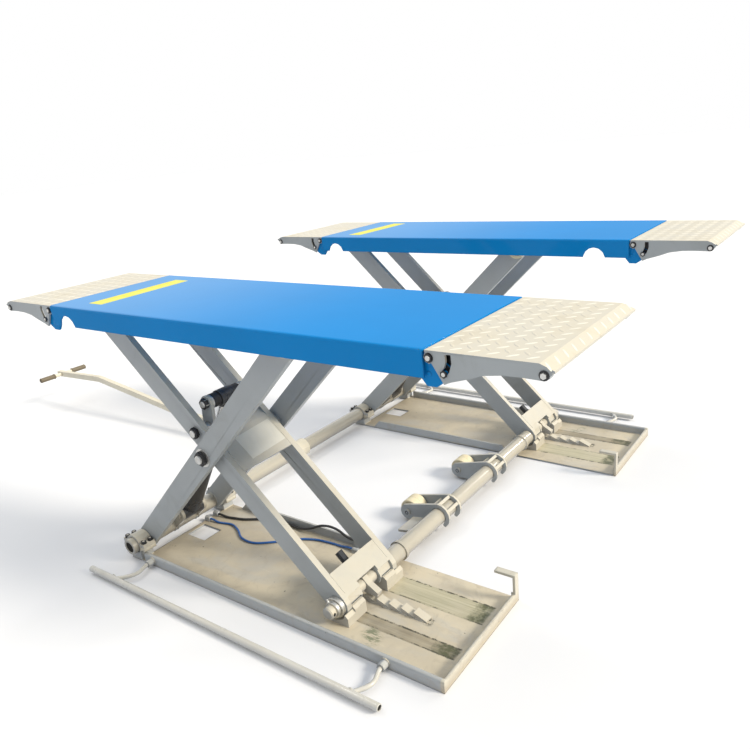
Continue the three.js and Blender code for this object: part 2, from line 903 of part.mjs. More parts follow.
function baseTray() {
  const floor = box(trayRear, trayFront, -trayHalf, trayHalf, 0, traySheet);
  const opening = box(holeRear, holeFront, holeInner, holeOuter, -overrun, traySheet + overrun);
  const endX = trayFront - endPlateThickness;
  const solids = join(
    cut(floor, opening),
    outerRail(),
    innerRail(),
    box(endX, trayFront, -trayHalf, trayHalf, 0, endPlateHeight),
    clampSeat(1),
    clampSeat(-1),
    holdDownHook(),
    guardSocket(guardArmRear),
    guardSocket(guardArmFront),
  );
  return cut(solids, guardSocketHole(guardArmRear), guardSocketHole(guardArmFront));
}

function safetyRack() {
  const floor = traySheet + seatGap;
  const points = [[rackStart, floor]];
  for (let i = 0; i < toothCount; i++) {
    const x = rackStart + i * toothPitch;
    if (i > 0) points.push([x, rackValley]);
    points.push([x, rackCrest]);
    points.push([x + rackLand, rackCrest]);
  }
  const end = rackStart + toothCount * toothPitch;
  points.push([end, rackValley]);
  points.push([end, floor]);
  return plate(polygon(points.reverse()), -rackHalfWidth, rackHalfWidth);
}

// Guard bar with its two bent arms, whose ends stand in the sockets of the base
function guardBar() {
  const start = trayHalf + seatGap;
  const socketEnd = trayHalf + guardSocketReach;
  const gap = guardOffset - socketEnd;
  const arms = [
    [guardArmRear, guardArmRearBack],
    [guardArmFront, guardArmFrontBack],
  ].map(([x, back]) =>
    bentRod(
      [
        [x, start, guardArmHeight],
        [x, socketEnd - guardSocketReach / 2, guardArmHeight],
        [x, socketEnd + guardArmRadius, guardArmHeight],
        [x + guardArmKnee, socketEnd + gap / 2, guardArmHeight],
        [x - back / 2, guardOffset - guardRadius, guardHeight],
        [x - back, guardOffset, guardHeight],
      ],
      guardArmRadius,
      smallSides / 2,
      guardArmSteps,
    ),
  );
  return join(barAlongX(guardRadius, guardRear, guardFront, guardOffset, guardHeight, smallSides), ...arms);
}

// Cross-section of the deck: a top sheet with a skirt on each side
function deckSection() {
  const bottom = deckTop - skirtDepth;
  const inner = deckSide - deckSheet;
  const shape = new THREE.Shape();
  shape.moveTo(-deckSide, bottom);
  shape.lineTo(-inner, bottom);
  shape.lineTo(-inner, deckTop - deckSheet);
  shape.lineTo(inner, deckTop - deckSheet);
  shape.lineTo(inner, bottom);
  shape.lineTo(deckSide, bottom);
  shape.lineTo(deckSide, deckTop - deckCorner);
  shape.absarc(deckSide - deckCorner, deckTop - deckCorner, deckCorner, 0, Math.PI / 2, false);
  shape.absarc(-deckSide + deckCorner, deckTop - deckCorner, deckCorner, Math.PI / 2, Math.PI, false);
  return shape;
}

function deckCrossPlate(x, depth) {
  const inner = deckSide - deckSheet + weldLap;
  const under = deckTop - deckSheet;
  return box(x, x + deckSheet, -inner, inner, under - depth, under + weldLap);
}

// Lugs under the deck that take the pins of the inner legs
function deckLug(side) {
  const near = innerLegOut + runGap;
  const top = highPivotDrop - deckSheet + weldLap;
  const span = reach(side, near, near + hingeLugSheet);
  const body = join(
    bar(hingeLugRadius, fixedPivotX, highPivotHeight, ...span),
    box(
      fixedPivotX - hingeLugRadius,
      fixedPivotX + hingeLugRadius,
      ...span,
      highPivotHeight,
      highPivotHeight + top,
    ),
  );
  const pinHole = hole(
    hingePinRadius,
    fixedPivotX,
    highPivotHeight,
    span[0] - overrun,
    span[1] + overrun,
  );
  return cut(body, pinHole);
}

// Ear at the deck's front end, measured from the ramp's pivot, with the pivot pin and the stop bolt
function rampEar(side) {
  const span = reach(side, earFace, earFace + earSheet);
  const back = -rampPivotOut - deckEndInset;
  const lip = rampPivotDrop - deckSheet + weldLap;
  const ear = polygon([
    [back, -earReach],
    [-rampPivotOut, -earDepth],
    [earPinHeadRadius, -earDepth],
    [earReach, -stopDistance + earSheet],
    [earReach, -rampPivotDrop - deckSheet],
    [earBoltRadius, earPinRadius + earPinEdge],
    [-earPinHeadRadius, earPinRadius + earPinEdge],
    [-rampPivotOut, lip],
    [back, lip],
  ]);
  const sideOut = rampSideFace + rampSideSheet + seatGap;
  const stopX = stopDistance * Math.cos(stopAngle * degree);
  const stopZ = stopDistance * Math.sin(stopAngle * degree);
  const inside = earFace + weldLap;
  const earOut = earFace + earSheet;
  return join(
    plate(ear, ...span),
    bar(earPinRadius, 0, 0, ...reach(side, inside, sideOut), hexSides),
    bar(earPinHeadRadius, 0, 0, ...reach(side, sideOut, sideOut + earPinHead), hexSides),
    bar(stopBoltRadius, stopX, stopZ, ...reach(side, inside, sideOut), hexSides),
    bar(stopHeadRadius, stopX, stopZ, ...reach(side, sideOut, sideOut + earPinHead), hexSides),
    bar(
      earBoltRadius,
      -rampPivotOut / 2,
      -earBoltDrop,
      ...reach(side, inside, earOut + earPinHead / 2),
      hexSides,
    ),
  );
}

// The ears of one end, moved to that end
function deckEars(end) {
  const geometry = geometryOf(both(rampEar));
  if (end < 0) geometry.rotateZ(Math.PI);
  geometry.translate(end < 0 ? rearRampX : frontRampX, 0, rampPivotHeight);
  return solid(geometry);
}

function deck() {
  const notchHeight = deckTop - skirtDepth - notchDrop;
  const notch = (x, side) =>
    bar(notchRadius, x, notchHeight, ...reach(side, deckSide - overrun, deckSide + overrun), roundSides);
  const body = join(
    profile(deckSection(), deckRear, deckFront, cornerSteps),
    deckCrossPlate(deckFront - deckEndInset - deckSheet, deckEndDepth),
    deckCrossPlate(deckRear + deckEndInset, deckEndDepth),
    deckCrossPlate(rearRibX, deckRibDepth),
    deckCrossPlate(frontRibX, deckRibDepth),
    deckLug(1),
    deckLug(-1),
    deckEars(1),
    deckEars(-1),
  );
  return cut(body, notch(fixedPivotX, 1), notch(fixedPivotX, -1), notch(slidePivotLowered, -1));
}

// Lower edge of the ramp's side plate, as shares of the ramp's reach and of the plate's depth
const rampSideShares = [
  [0.755, 0.31],
  [0.6, 0.33],
  [0.45, 0.44],
  [0.33, 0.65],
  [0.18, 0.87],
  [0.12, 1],
];

// Slot of one width that follows a circle round the pivot, between two angles
function slotAroundPivot(radius, half, lowAngle, highAngle) {
  const outer = [];
  const inner = [];
  const place = (distance, angle) => {
    const turn = angle * degree;
    return [distance * Math.cos(turn), distance * Math.sin(turn)];
  };
  const endTurn = half / radius / degree;
  const low = lowAngle - endTurn;
  const high = highAngle + endTurn;
  for (let i = 0; i <= arcSteps; i++) {
    const angle = low + ((high - low) * i) / arcSteps;
    outer.push(place(radius + half, angle));
    inner.unshift(place(radius - half, angle));
  }
  return polygon([...outer, ...inner]);
}

// Side plate of a ramp, measured from its pivot, with the curved slot for the stop bolt
function rampSide(side) {
  const span = reach(side, rampSideFace, rampSideFace + rampSideSheet);
  const top = rampPivotDrop - rampTopDrop - rampSheet / 2;
  const tipTop = top - rampTipDrop;
  const shape = new THREE.Shape();
  shape.moveTo(rampGap - rampPivotOut, top);
  for (const [x, z] of rampSideShares.slice().reverse()) {
    shape.lineTo(x * rampReach, -z * rampSideDepth);
  }
  shape.lineTo(rampReach - rampRollerInset, -rampRollerDrop - rampRollerRadius);
  shape.lineTo(rampReach - rampSheet, tipTop - rampSheet);
  shape.lineTo(rampReach - rampSheet, tipTop);
  shape.lineTo(rampReach - rampTipLength, top);
  const slot = slotAroundPivot(stopDistance, stopBoltRadius + runGap / 2, stopAngle, slotTopAngle);
  const wide = [span[0] - overrun, span[1] + overrun];
  const rollerX = rampReach - rampRollerInset;
  const rollerSpan = reach(side, rampSideFace - rampRollerWidth, rampSideFace + weldLap);
  return join(
    cut(
      join(plate(shape, ...span), bar(rampBossRadius, 0, 0, ...span)),
      plate(slot, ...wide),
      hole(earPinRadius, 0, 0, ...wide, smallSides),
    ),
    bar(rampRollerRadius, rollerX, -rampRollerDrop, ...rollerSpan, smallSides),
  );
}

// Ramp, measured from its pivot: a tread bent down at the tip, two side plates and two cross ribs
function ramp() {
  const top = rampPivotDrop - rampTopDrop;
  const low = top - rampSheet;
  const half = rampSideFace + rampSideSheet;
  const start = rampGap - rampPivotOut;
  const bend = rampReach - rampTipLength;
  const tread = polygon([
    [start, low],
    [bend, low],
    [rampReach, low - rampTipDrop],
    [rampReach, top - rampTipDrop],
    [bend, top],
    [start, top],
  ]);
  const inner = rampSideFace + weldLap;
  const ribs = [rampRibOffset, 2 * rampRibOffset].map((x) =>
    box(x, x + rampSheet, -inner, inner, low - rampRibDepth, low + weldLap),
  );
  return join(plate(tread, -half, half), rampSide(1), rampSide(-1), ...ribs);
}

// Tube across both units, with the lugs that carry the cylinders' feet in the turned frame of the legs
function rearTube() {
  const end = unitOffset + rearTubeOverhang;
  const lugs = [-1, 1].flatMap((unit) =>
    [-1, 1].map((side) => {
      const near = footHalfWidth + seatGap;
      const span = reach(side, near, near + footLugSheet);
      const pin = reach(side, near + weldLap, near + footLugSheet + footPinHead);
      const middle = unit * unitOffset;
      return join(
        plate(
          slotShape(0, 0, footDistance, -footDrop, footRadius),
          middle + span[0],
          middle + span[1],
        ),
        bar(footPinRadius, footDistance, -footDrop, middle + pin[0], middle + pin[1]),
      );
    }),
  );
  const body = join(bar(tubeRadius, 0, 0, -end, end, roundSides), ...lugs);
  return cut(body, bar(rearTubeBore, 0, 0, -end - overrun, end + overrun, roundSides));
}

function frontTube() {
  const end = unitOffset - frontTubeStart;
  const collars = [-1, 1].map((side) => {
    const far = unitOffset - frontCollarOffset;
    return bar(frontCollarRadius, 0, 0, ...reach(side, far - frontCollarWidth, far), roundSides);
  });
  const tabs = [-1, 1].map((side) => {
    const sheet = box(
      -tabReach,
      -tubeRadius / 2,
      ...reach(side, tabStart, tabEnd),
      -tabSheet / 2,
      tabSheet / 2,
    );
    const geometry = geometryOf(sheet);
    geometry.rotateY(-tabTilt * degree);
    return solid(geometry);
  });
  const body = join(bar(tubeRadius, 0, 0, -end, end, roundSides), ...collars, ...tabs);
  return cut(body, hole(slideShaftRadius, 0, 0, -end - overrun, end + overrun));
}

// One side plate of a roller carriage: it hooks over the front tube and carries the roller's bolt
function carriageSide(rollerZ) {
  const tip = carriageTipAngle * degree;
  const heel = carriageHeelAngle * degree;
  const halfFacet = (heel - tip) / (4 * arcSteps);
  const inner = (tubeRadius + seatGap) / Math.cos(halfFacet);
  const shape = new THREE.Shape();
  shape.absarc(0, 0, inner, heel, tip, true);
  const tipMiddle = (inner + carriageHookRadius) / 2;
  shape.absarc(
    tipMiddle * Math.cos(tip),
    tipMiddle * Math.sin(tip),
    (carriageHookRadius - inner) / 2,
    tip + Math.PI,
    tip + 2 * Math.PI,
    false,
  );
  shape.absarc(0, 0, carriageHookRadius, tip, Math.PI / 2, false);
  shape.absarc(-carriageArm, rollerZ, carriageEndRadius, Math.PI / 2, (3 * Math.PI) / 2, false);
  shape.lineTo(-carriageHookRadius, rollerZ - tubeRadius);
  return shape;
}

function carriage(place) {
  const rollerZ = transportRollerRadius + floorGap - lowPivotHeight;
  const low = place - carriageHalfWidth;
  const high = place + carriageHalfWidth;
  const shape = carriageSide(rollerZ);
  const spacerX = [Math.PI / 6, Math.PI / 2, (5 * Math.PI) / 6];
  const spacers = spacerX.map((turn) =>
    bar(
      spacerRadius,
      spacerDistance * Math.cos(turn),
      spacerDistance * Math.sin(turn),
      low + weldLap,
      high - weldLap,
      smallSides / 2,
    ),
  );
  return join(
    plate(shape, low, low + carriageSheet),
    plate(shape, high - carriageSheet, high),
    ...spacers,
    bar(rollerBoltRadius, -carriageArm, rollerZ, low, high, smallSides),
    bar(rollerBoltHeadRadius, -carriageArm, rollerZ, low - rollerBoltHead, low + weldLap, hexSides),
    bar(rollerBoltHeadRadius, -carriageArm, rollerZ, high - weldLap, high + rollerBoltHead, hexSides),
  );
}

// Transport roller with rounded edges and a groove round the middle
function transportRoller(place) {
  const half = carriageHalfWidth - carriageSheet - transportRollerGap;
  const edge = transportRollerGroove;
  const bore = rollerBoltRadius + seatGap;
  const outer = transportRollerRadius;
  const points = [
    [bore, -half],
    [outer - edge, -half],
    [outer, -half + edge],
    [outer, -edge],
    [outer - edge / 2, 0],
    [outer, edge],
    [outer, half - edge],
    [outer - edge, half],
    [bore, half],
    [bore, -half],
  ];
  const geometry = new THREE.LatheGeometry(
    points.map(([x, y]) => new THREE.Vector2(x, y)),
    roundSides,
  );
  geometry.translate(0, place, 0);
  return solid(geometry);
}

// Outline of a bar of one height along a bent line
function strip(points, half) {
  const line = points.map(([x, z]) => new THREE.Vector2(x, z));
  const normals = line.map((point, i) => {
    const before = line[Math.max(i - 1, 0)];
    const after = line[Math.min(i + 1, line.length - 1)];
    const along = after.clone().sub(before).normalize();
    return new THREE.Vector2(-along.y, along.x);
  });
  const upper = line.map((point, i) => point.clone().addScaledVector(normals[i], half));
  const lower = line.map((point, i) => point.clone().addScaledVector(normals[i], -half));
  return new THREE.Shape([...upper, ...lower.reverse()]);
}

const towSlope = (towElbowZ - towEndZ) / (towElbowX - towEndX);
const towHandleX = towEndX + towHandleInset;
const towHandleZ = towEndZ + towHandleInset * towSlope;

function towBar() {
  const line = [
    [fixedPivotX, lowPivotHeight],
    [towKneeX, towKneeZ],
    [towBendX, towBendZ],
    [towElbowX, towElbowZ],
    [towEndX, towEndZ],
  ];
  const half = towBarWidth / 2;
  const shank = plate(strip(line, towBarHeight / 2), -half, half);
  const wide = towCollarHalf + overrun;
  return cut(
    join(shank, bar(towCollarRadius, fixedPivotX, lowPivotHeight, -towCollarHalf, towCollarHalf, roundSides)),
    hole(tubeRadius, fixedPivotX, lowPivotHeight, -wide, wide),
    bar(towHandleRadius + seatGap, towHandleX, towHandleZ, -wide, wide, smallSides),
  );
}

function towHandle() {
  const grips = both((side) =>
    bar(
      towGripRadius,
      towHandleX,
      towHandleZ,
      ...reach(side, towHandleHalf - towGripLength, towHandleHalf),
      smallSides,
    ),
  );
  const core = bar(towHandleRadius, towHandleX, towHandleZ, -towHandleHalf, towHandleHalf, smallSides);
  return join(core, grips);
}

// Routes of the two hoses on the right base, from fitting to fitting
const supplyRoute = [
  [supplyStart[0] + seatGap, supplyStart[1], supplyStart[2]],
  [-560, -125, 15],
  [-530, -128, 11],
  [-500, -134, 11],
  [-453, -147, 11],
  [-394, -176, 11],
  [-330, -191, 11],
  [-262, -196, 13],
  [-205, -192, 15],
  [-152, -193, 29],
  [-95, -195, 55],
  [-50, -195, 63],
  [-13, -195, 58],
  [20, -195, 43],
  [44, -195, 40],
  [supplyEnd[0] - seatGap, supplyEnd[1], supplyEnd[2]],
];
const airRoute = [
  [airStart[0] + seatGap, airStart[1], airStart[2]],
  [-560, -85, 15],
  [-530, -86, 10.5],
  [-470, -98, 10.5],
  [-420, -82, 10.5],
  [-365, -50, 10.5],
  [-300, -46, 10.5],
  [-240, -80, 10.5],
  [-180, -130, 10.5],
  [-110, -165, 10.5],
  [-40, -176, 10.5],
  [5, -177, 10.5],
  [40, -177, 15],
  [airEnd[0] - seatGap, airEnd[1], airEnd[2]],
];

// The pieces of both units, made once
const made = {
  trays: { right: join(baseTray(), hoseFittings()), left: baseTray() },
  rack: safetyRack(),
  guard: guardBar(),
  caps: [clampCap(1), clampCap(-1)],
  outerLegs: [outerLeg(1), outerLeg(-1)],
  frame: innerFrame(),
  centreBolts: [centreBolt(1), centreBolt(-1)],
  linkBolts: [linkBolt(1), linkBolt(-1)],
  link: liftLink(),
  rod: cylinderRod(),
  barrel: cylinderBarrel(),
  shaft: slideShaft(),
  shoes: [slideShoe(1), slideShoe(-1)],
  rollers: [upperRoller(1), upperRoller(-1)],
  pawl: pawl(),
  airCylinder: pawlAirCylinder(),
  deck: deck(),
  ramp: ramp(),
};

function addPair(group, name, solids, material) {
  add(group, name + "_outer", solids[0], material);
  add(group, name + "_inner", solids[1], material);
}

function addUnit(parent, prefix, side) {
  const unit = groupAt(parent, 0, 0);
  unit.position.y = side * unitOffset;
  unit.scale.y = side;
  add(unit, prefix + "_base_tray", made.trays[prefix], paint.cream);
  add(unit, prefix + "_safety_rack", made.rack, paint.grey);
  add(unit, prefix + "_guard_bar", made.guard, paint.grey);
  addPair(groupAt(unit, fixedPivotX, lowPivotHeight), prefix + "_clamp_cap", made.caps, paint.grey);

  const outer = groupAt(unit, fixedPivotX, lowPivotHeight, legAngle);
  addPair(outer, prefix + "_outer_leg", made.outerLegs, paint.grey);

  const inner = groupAt(unit, centreX, centreHeight, -legAngle);
  add(inner, prefix + "_inner_frame", made.frame, paint.grey);
  add(inner, prefix + "_pawl_air_cylinder", made.airCylinder, paint.black);
  addPair(inner, prefix + "_centre_bolt", made.centreBolts, paint.black);
  const linkBolts = groupAt(inner, -linkPivotDistance, 0);
  addPair(linkBolts, prefix + "_link_bolt", made.linkBolts, paint.black);

  add(groupAt(unit, linkPivot.x, linkPivot.y, linkTurn), prefix + "_lift_link", made.link, paint.grey);
  add(
    groupAt(unit, rodPivot.x, rodPivot.y, cylinderTurn),
    prefix + "_cylinder_rod",
    made.rod,
    paint.steel,
  );
  add(
    groupAt(unit, footPivot.x, footPivot.y, cylinderTurn),
    prefix + "_cylinder_barrel",
    made.barrel,
    paint.black,
  );

  const slide = groupAt(unit, slidePivotX, lowPivotHeight);
  add(slide, prefix + "_slide_shaft", made.shaft, paint.cream);
  addPair(slide, prefix + "_slide_shoe", made.shoes, paint.grey);
  add(slide, prefix + "_pawl", made.pawl, paint.grey);

  const top = groupAt(unit, slidePivotX, highPivotHeight);
  addPair(top, prefix + "_upper_roller", made.rollers, paint.nylon);
  add(unit, prefix + "_deck", made.deck, paint.blue);
  add(groupAt(unit, frontRampX, rampPivotHeight), prefix + "_front_ramp", made.ramp, paint.tread);
  const rear = groupAt(unit, rearRampX, rampPivotHeight);
  rear.rotation.z = Math.PI;
  add(rear, prefix + "_rear_ramp", made.ramp, paint.tread);
  return unit;
}

function addShared(parent) {
  add(
    groupAt(parent, fixedPivotX, lowPivotHeight, legAngle),
    "rear_torsion_tube",
    rearTube(),
    paint.cream,
  );
  const slide = groupAt(parent, slidePivotX, lowPivotHeight);
  add(slide, "front_torsion_tube", frontTube(), paint.cream);
  const rollerZ = transportRollerRadius + floorGap;
  const rollers = groupAt(parent, slidePivotX - carriageArm, rollerZ);
  ["right", "left"].forEach((name, i) => {
    add(slide, name + "_roller_carriage", carriage(carriagePlaces[i]), paint.cream);
    add(rollers, name + "_transport_roller", transportRoller(carriagePlaces[i]), paint.nylon);
  });
  add(parent, "tow_bar", towBar(), paint.grey);
  add(parent, "tow_handle", towHandle(), paint.grey);
}

const lift = new THREE.Group();
const layout = groupAt(lift, -overallCentre, 0);
addShared(layout);
const rightUnit = addUnit(layout, "right", -1);
addUnit(layout, "left", 1);
const supplyHose = bentRod(supplyRoute, supplyHoseRadius, hoseSides, supplyHoseSteps);
const airHose = bentRod(airRoute, airHoseRadius, hoseSides, airHoseSteps);
add(rightUnit, "hydraulic_hose", supplyHose, paint.rubber);
add(rightUnit, "air_hose", airHose, paint.airline);

export default lift;
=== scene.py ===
"""The looks of a portable scissor car lift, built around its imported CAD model.

Everything is in metres in the row frame, +Z up. +X is the front, where the scissors' slide shoes run.
"""

import json
import math

import bmesh
import bpy
from mathutils import Matrix, Vector


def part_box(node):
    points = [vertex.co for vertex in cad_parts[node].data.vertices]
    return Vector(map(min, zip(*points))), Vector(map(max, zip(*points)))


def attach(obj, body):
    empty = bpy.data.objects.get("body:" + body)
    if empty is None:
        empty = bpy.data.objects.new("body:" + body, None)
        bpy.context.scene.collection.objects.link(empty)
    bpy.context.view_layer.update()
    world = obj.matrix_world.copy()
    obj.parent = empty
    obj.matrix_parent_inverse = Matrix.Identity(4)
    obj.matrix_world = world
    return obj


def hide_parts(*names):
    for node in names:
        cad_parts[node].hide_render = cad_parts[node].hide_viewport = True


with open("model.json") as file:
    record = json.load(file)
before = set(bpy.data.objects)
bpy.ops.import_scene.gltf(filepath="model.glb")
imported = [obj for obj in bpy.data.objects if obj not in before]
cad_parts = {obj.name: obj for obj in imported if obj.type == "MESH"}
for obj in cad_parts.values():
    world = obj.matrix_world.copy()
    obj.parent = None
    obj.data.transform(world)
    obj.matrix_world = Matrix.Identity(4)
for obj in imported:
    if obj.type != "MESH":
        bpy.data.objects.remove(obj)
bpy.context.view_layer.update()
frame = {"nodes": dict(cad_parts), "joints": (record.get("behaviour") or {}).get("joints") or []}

# The sign of Y on which each unit stands, of Y in a unit for its two faces, and of X for a deck's ends
SIDES = {"right": -1, "left": 1}
FACES = {"outer": 1, "inner": -1}
ENDS = {"front": 1, "rear": -1}

# Pivots in the X-Z plane, from the joints
PIVOT = {j["name"]: Vector(j["pos_m"]) for j in frame["joints"] if "pos_m" in j}
SLIDE_AXIS = {j["name"]: Vector(j["axis"]) for j in frame["joints"]}["right_cylinder_stroke"]
UNIT_OFFSET = abs(PIVOT["right_deck_level"].y)
REAR_AXLE = PIVOT["lift"]
CENTRE = PIVOT["scissor"]
FRONT_AXLE = PIVOT["front_axle_level"]
LEG_ANGLE = math.atan2(CENTRE.z - REAR_AXLE.z, CENTRE.x - REAR_AXLE.x)

# Torsion tubes and the slide shaft
TUBE_RADIUS = 0.030
TUBE_BORE = 0.020
TUBE_EDGE = 0.002
TUBE_OVERHANG = 0.232
FRONT_TUBE_START = 0.129
COLLAR_OFFSET = 0.188
COLLAR_WIDTH = 0.013
COLLAR_FAR = UNIT_OFFSET - COLLAR_OFFSET
COLLAR_RADIUS = 0.035
TAB_REACH = 0.092
TAB_HALF = 0.0045
TAB_PLACES = (0.240, 0.335)
TAB_LEAN = math.radians(10)
SHAFT_RADIUS = 0.020
SHAFT_RING_RADIUS = 0.033
SHAFT_RING_WIDTH = 0.015
SHAFT_DISC_RADIUS = 0.027
SHAFT_DISC_WIDTH = 0.012
SHAFT_RING_EDGE = 0.0015
SHAFT_TIP = 0.172
SHAFT_TAPER = 0.004
SHAFT_HOLE = 0.005
SHAFT_HOLE_OUT = 0.0002
SHAFT_INTO_TUBE = 0.060
# Dark cups in the tubes' open ends, painted shade inside the bores
TUBE_SHADE_DEPTH = 0.12
SHADE_CUP_BACK = 0.002
SHADE_CUP_WALL = 0.0004

# Legs and their bolts
INNER_LEG_FACE = 0.104
OUTER_LEG_FACE = 0.142
LEG_SHEET = 0.020
LEG_LENGTH = 1.200
LEG_RADIUS = 0.038
PLATE_SHEET = 0.008
LOW_PLATE = 0.084
LOW_PLATE_END = 0.012
MID_PLATE = (-0.022, 0.112)
MID_PLATE_TAIL = (-0.060, 0.012)
PLATE_BEAD_DROP = 0.0012
SLEEVE_RADIUS = 0.029
SEAT_GAP = 0.0003
OVERLAP = 0.001
RUN_GAP = 0.002
BOLT_RADIUS = 0.014
BOLT_END = 0.0055
BOLT_CHAMFER = 0.002
BOLT_HOLLOW = 0.004
THREAD_PITCH = 0.0015
THREAD_DEPTH = 0.0009
THREADS = 4
HEAD_RADIUS = 0.022
HEAD_HEIGHT = 0.008
WASHER_RADIUS = 0.030
NUT_RADIUS = 0.024
NUT_HEIGHT = 0.015
NUT_CHAMFER = 0.0012
LINK_BOLT_RADIUS = 0.012
LINK_BOLT_END = 0.003
LINK_NUT_RADIUS = 0.019
LINK_NUT_HEIGHT = 0.013
LINK_FACE = 0.062
LINK_SHEET = 0.012
LINK_SLEEVE = 0.020
LINK_RING = 0.006
LINK_RING_DROP = 0.0012
SLEEVE_OVER = 0.0232
SLEEVE_WALL = 0.002
LINK_END_NUT = 0.0186
LINK_END_HEIGHT = 0.0126
LINK_END_BOLT = 0.0105
LINK_END_REACH = 0.0155
LINK_END_CHAMFER = 0.0015

# Rollers and cylinders
UPPER_ROLLER_RADIUS = 0.0397
UPPER_ROLLER_WIDTH = 0.022
UPPER_ROLLER_DISH = 0.004
UPPER_DISH_SHARES = (0.72, 0.66, 0.42, 0.38)
ROLLER_RADIUS = 0.040
ROLLER_HALF = 0.030
ROLLER_GROOVE = 0.004
GROOVE_SHARE = 0.6
ROUND_STEPS = 4
ROLLER_BOLT = 0.009
ROLLER_HUB_SHARES = (0.42, 0.46, 0.72, 0.76)
FOOT_RADIUS = 0.026
FOOT_HALF = 0.042
FOOT_PIN = (0.080, -0.005)
FOOT_PIN_OUT = 0.006
BARREL_RADIUS = 0.034
BARREL_TOP = 0.318
BARREL_EDGE = 0.002
GLAND_RADIUS = 0.036
GLAND_LENGTH = 0.022
GLAND_GROOVE = 0.004
WIPER_GAP = 0.0007
PORT_RADIUS = 0.010
PORT_HEIGHT = 0.013
PORT_DISTANCE = 0.064
ROD_RADIUS = 0.018
ROD_INSIDE = 0.040
ROD_EYE = 0.026
ROD_EYE_HALF = 0.0277
ROD_COLLAR = 0.003
CYLINDER_LENGTH = 0.5935

# Guard bars and the tow bar
GUARD_RADIUS = 0.011
GUARD_WALL = 0.003
GUARD_EDGE = 0.001
GUARD_SHADE_DEPTH = 0.05
GUARD_OFFSET = 0.344
GUARD_HEIGHT = 0.017
GUARD_ARM = 0.007
GUARD_SOCKET = 0.024
GUARD_KNEE = 0.020
GUARD_ARM_BACKS = (0.047, 0.022)
GUARD_WELD_SHARES = (0.8, 0.7)
GUARD_WELD_IN = 0.0015
TOW_ROD_RADIUS = 0.010
TOW_GRIP_RADIUS = 0.015
TOW_GRIP_LENGTH = 0.088
GRIP_OVERLAP = 0.004
GRIP_COLLAR = (0.002, 0.006, 0.009)
GRIP_RIBS = 8
GRIP_PITCH = 0.0085
GRIP_RIB = 0.0035
GRIP_DEPTHS = (0.001, 0.002, 0.0012, 0.0022)
GRIP_ROUND = 0.003
GRIP_HOLE = 0.004
GRIP_HOLE_FOOT = 0.0035
TOW_WELD = (-0.0385, 0.012, 0.016)

# Ramps
RAMP_PIVOT_OUT = 0.014
RAMP_PIVOT_DROP = 0.017
RAMP_GAP = 0.004
RAMP_REACH = 0.269
RAMP_TIP_LENGTH = 0.030
RAMP_TIP_DROP = 0.012
RAMP_HALF = 0.228
RAMP_TOP_DROP = 0.0015
RAMP_TOP = RAMP_PIVOT_DROP - RAMP_TOP_DROP
RAMP_BEND = RAMP_REACH - RAMP_TIP_LENGTH
RAMP_SHEET = 0.005
RAMP_SIDE = 0.006
RAMP_RIBS = (0.074, 0.148)
RAMP_WELD = (0.016, 0.008, 0.0095)
TIP_BOLT_BACK = 0.021
TIP_BOLT_DROP = 0.007
EAR_FACE = 0.214
# Black plates behind the ramps' slots: painted shade for the dark inside them
SLOT_SHADE_DEPTHS = (EAR_FACE - 0.0022, EAR_FACE - 0.0012)
SLOT_SHADE_PLATE = [(0.018, 0.0105), (0.062, 0.0105), (0.062, -0.020), (0.044, -0.038), (0.018, -0.030)]
STUD_PITCH = (0.0416, 0.0406)
STUD_START = 0.0073
STUD_LENGTH = 0.0295
STUD_WIDTH = 0.0075
STUD_HEIGHT = 0.0007
STUD_SUNK = 0.0004
STUD_CORNERS = 12
STUD_SLANT = math.pi / 4
STUD_SHARES = (1.0, 0.92, 0.66, 0.36)
STUD_SLOPE_SHARE = 0.75
DULL_STUD_SHARE = 0.6

# Base tray, clamps and deck, in the unit's own frame
TRAY_ORIGIN = 0.7865
TRAY_REAR = -0.599
TRAY_HALF = 0.213
RAIL_START = 0.025
RAIL_FACE = 0.197
INNER_RAIL_FACE = 0.205
INNER_RAIL_START = -0.525
INNER_RAIL_END = 0.195
RAIL_TOP = 0.038
END_SHEET = 0.010
CLAMP_X = -0.622
CLAMP_FACE = 0.165
CLAMP_FOOT = 0.030
CLAMP_TOP = 0.014
CLAMP_BOLT_X = 0.047
CLAMP_BOLT_IN = 0.011
HOOK_WIDTH = 0.022
SOCKET_PLACES = (-0.528, 0.486)
SOCKET_HEIGHT = 0.020
SOCKET_RADIUS = 0.013
RACK_HALF = 0.014
RACK_STITCH = 0.028
RACK_STITCH_SHARES = (0.04, 0.30, 0.56, 0.82)
DECK_REAR = -0.700
DECK_FRONT = 0.700
DECK_SHEET = 0.004
DECK_INSET = 0.014
DECK_INSIDE = 0.2265
LUG_NEAR = 0.126
LUG_SHEET = 0.012
LUG_RADIUS = 0.022
STOP_DISTANCE = 0.046
STOP_ANGLE = math.radians(-42)
STRIP_PLACE = (-0.590, -0.524, -0.170, 0.168)
STRIP_SLANT = 0.012
STRIP_DEPTHS = (-0.0005, 0.0002)
PLATE_PLACE = (0.043, -0.022)
PLATE_HALVES = (0.044, 0.075)
PLATE_DEPTHS = (-0.0004, 0.0008)
PLATE_TWIST = math.radians(-3)
NIPPLE_OFFSET = 0.085
NIPPLE_BACK = 0.014
SHAFT_NIPPLE_LEAN = math.radians(-30)
SLEEVE_NIPPLE_LEAN = math.radians(-25)

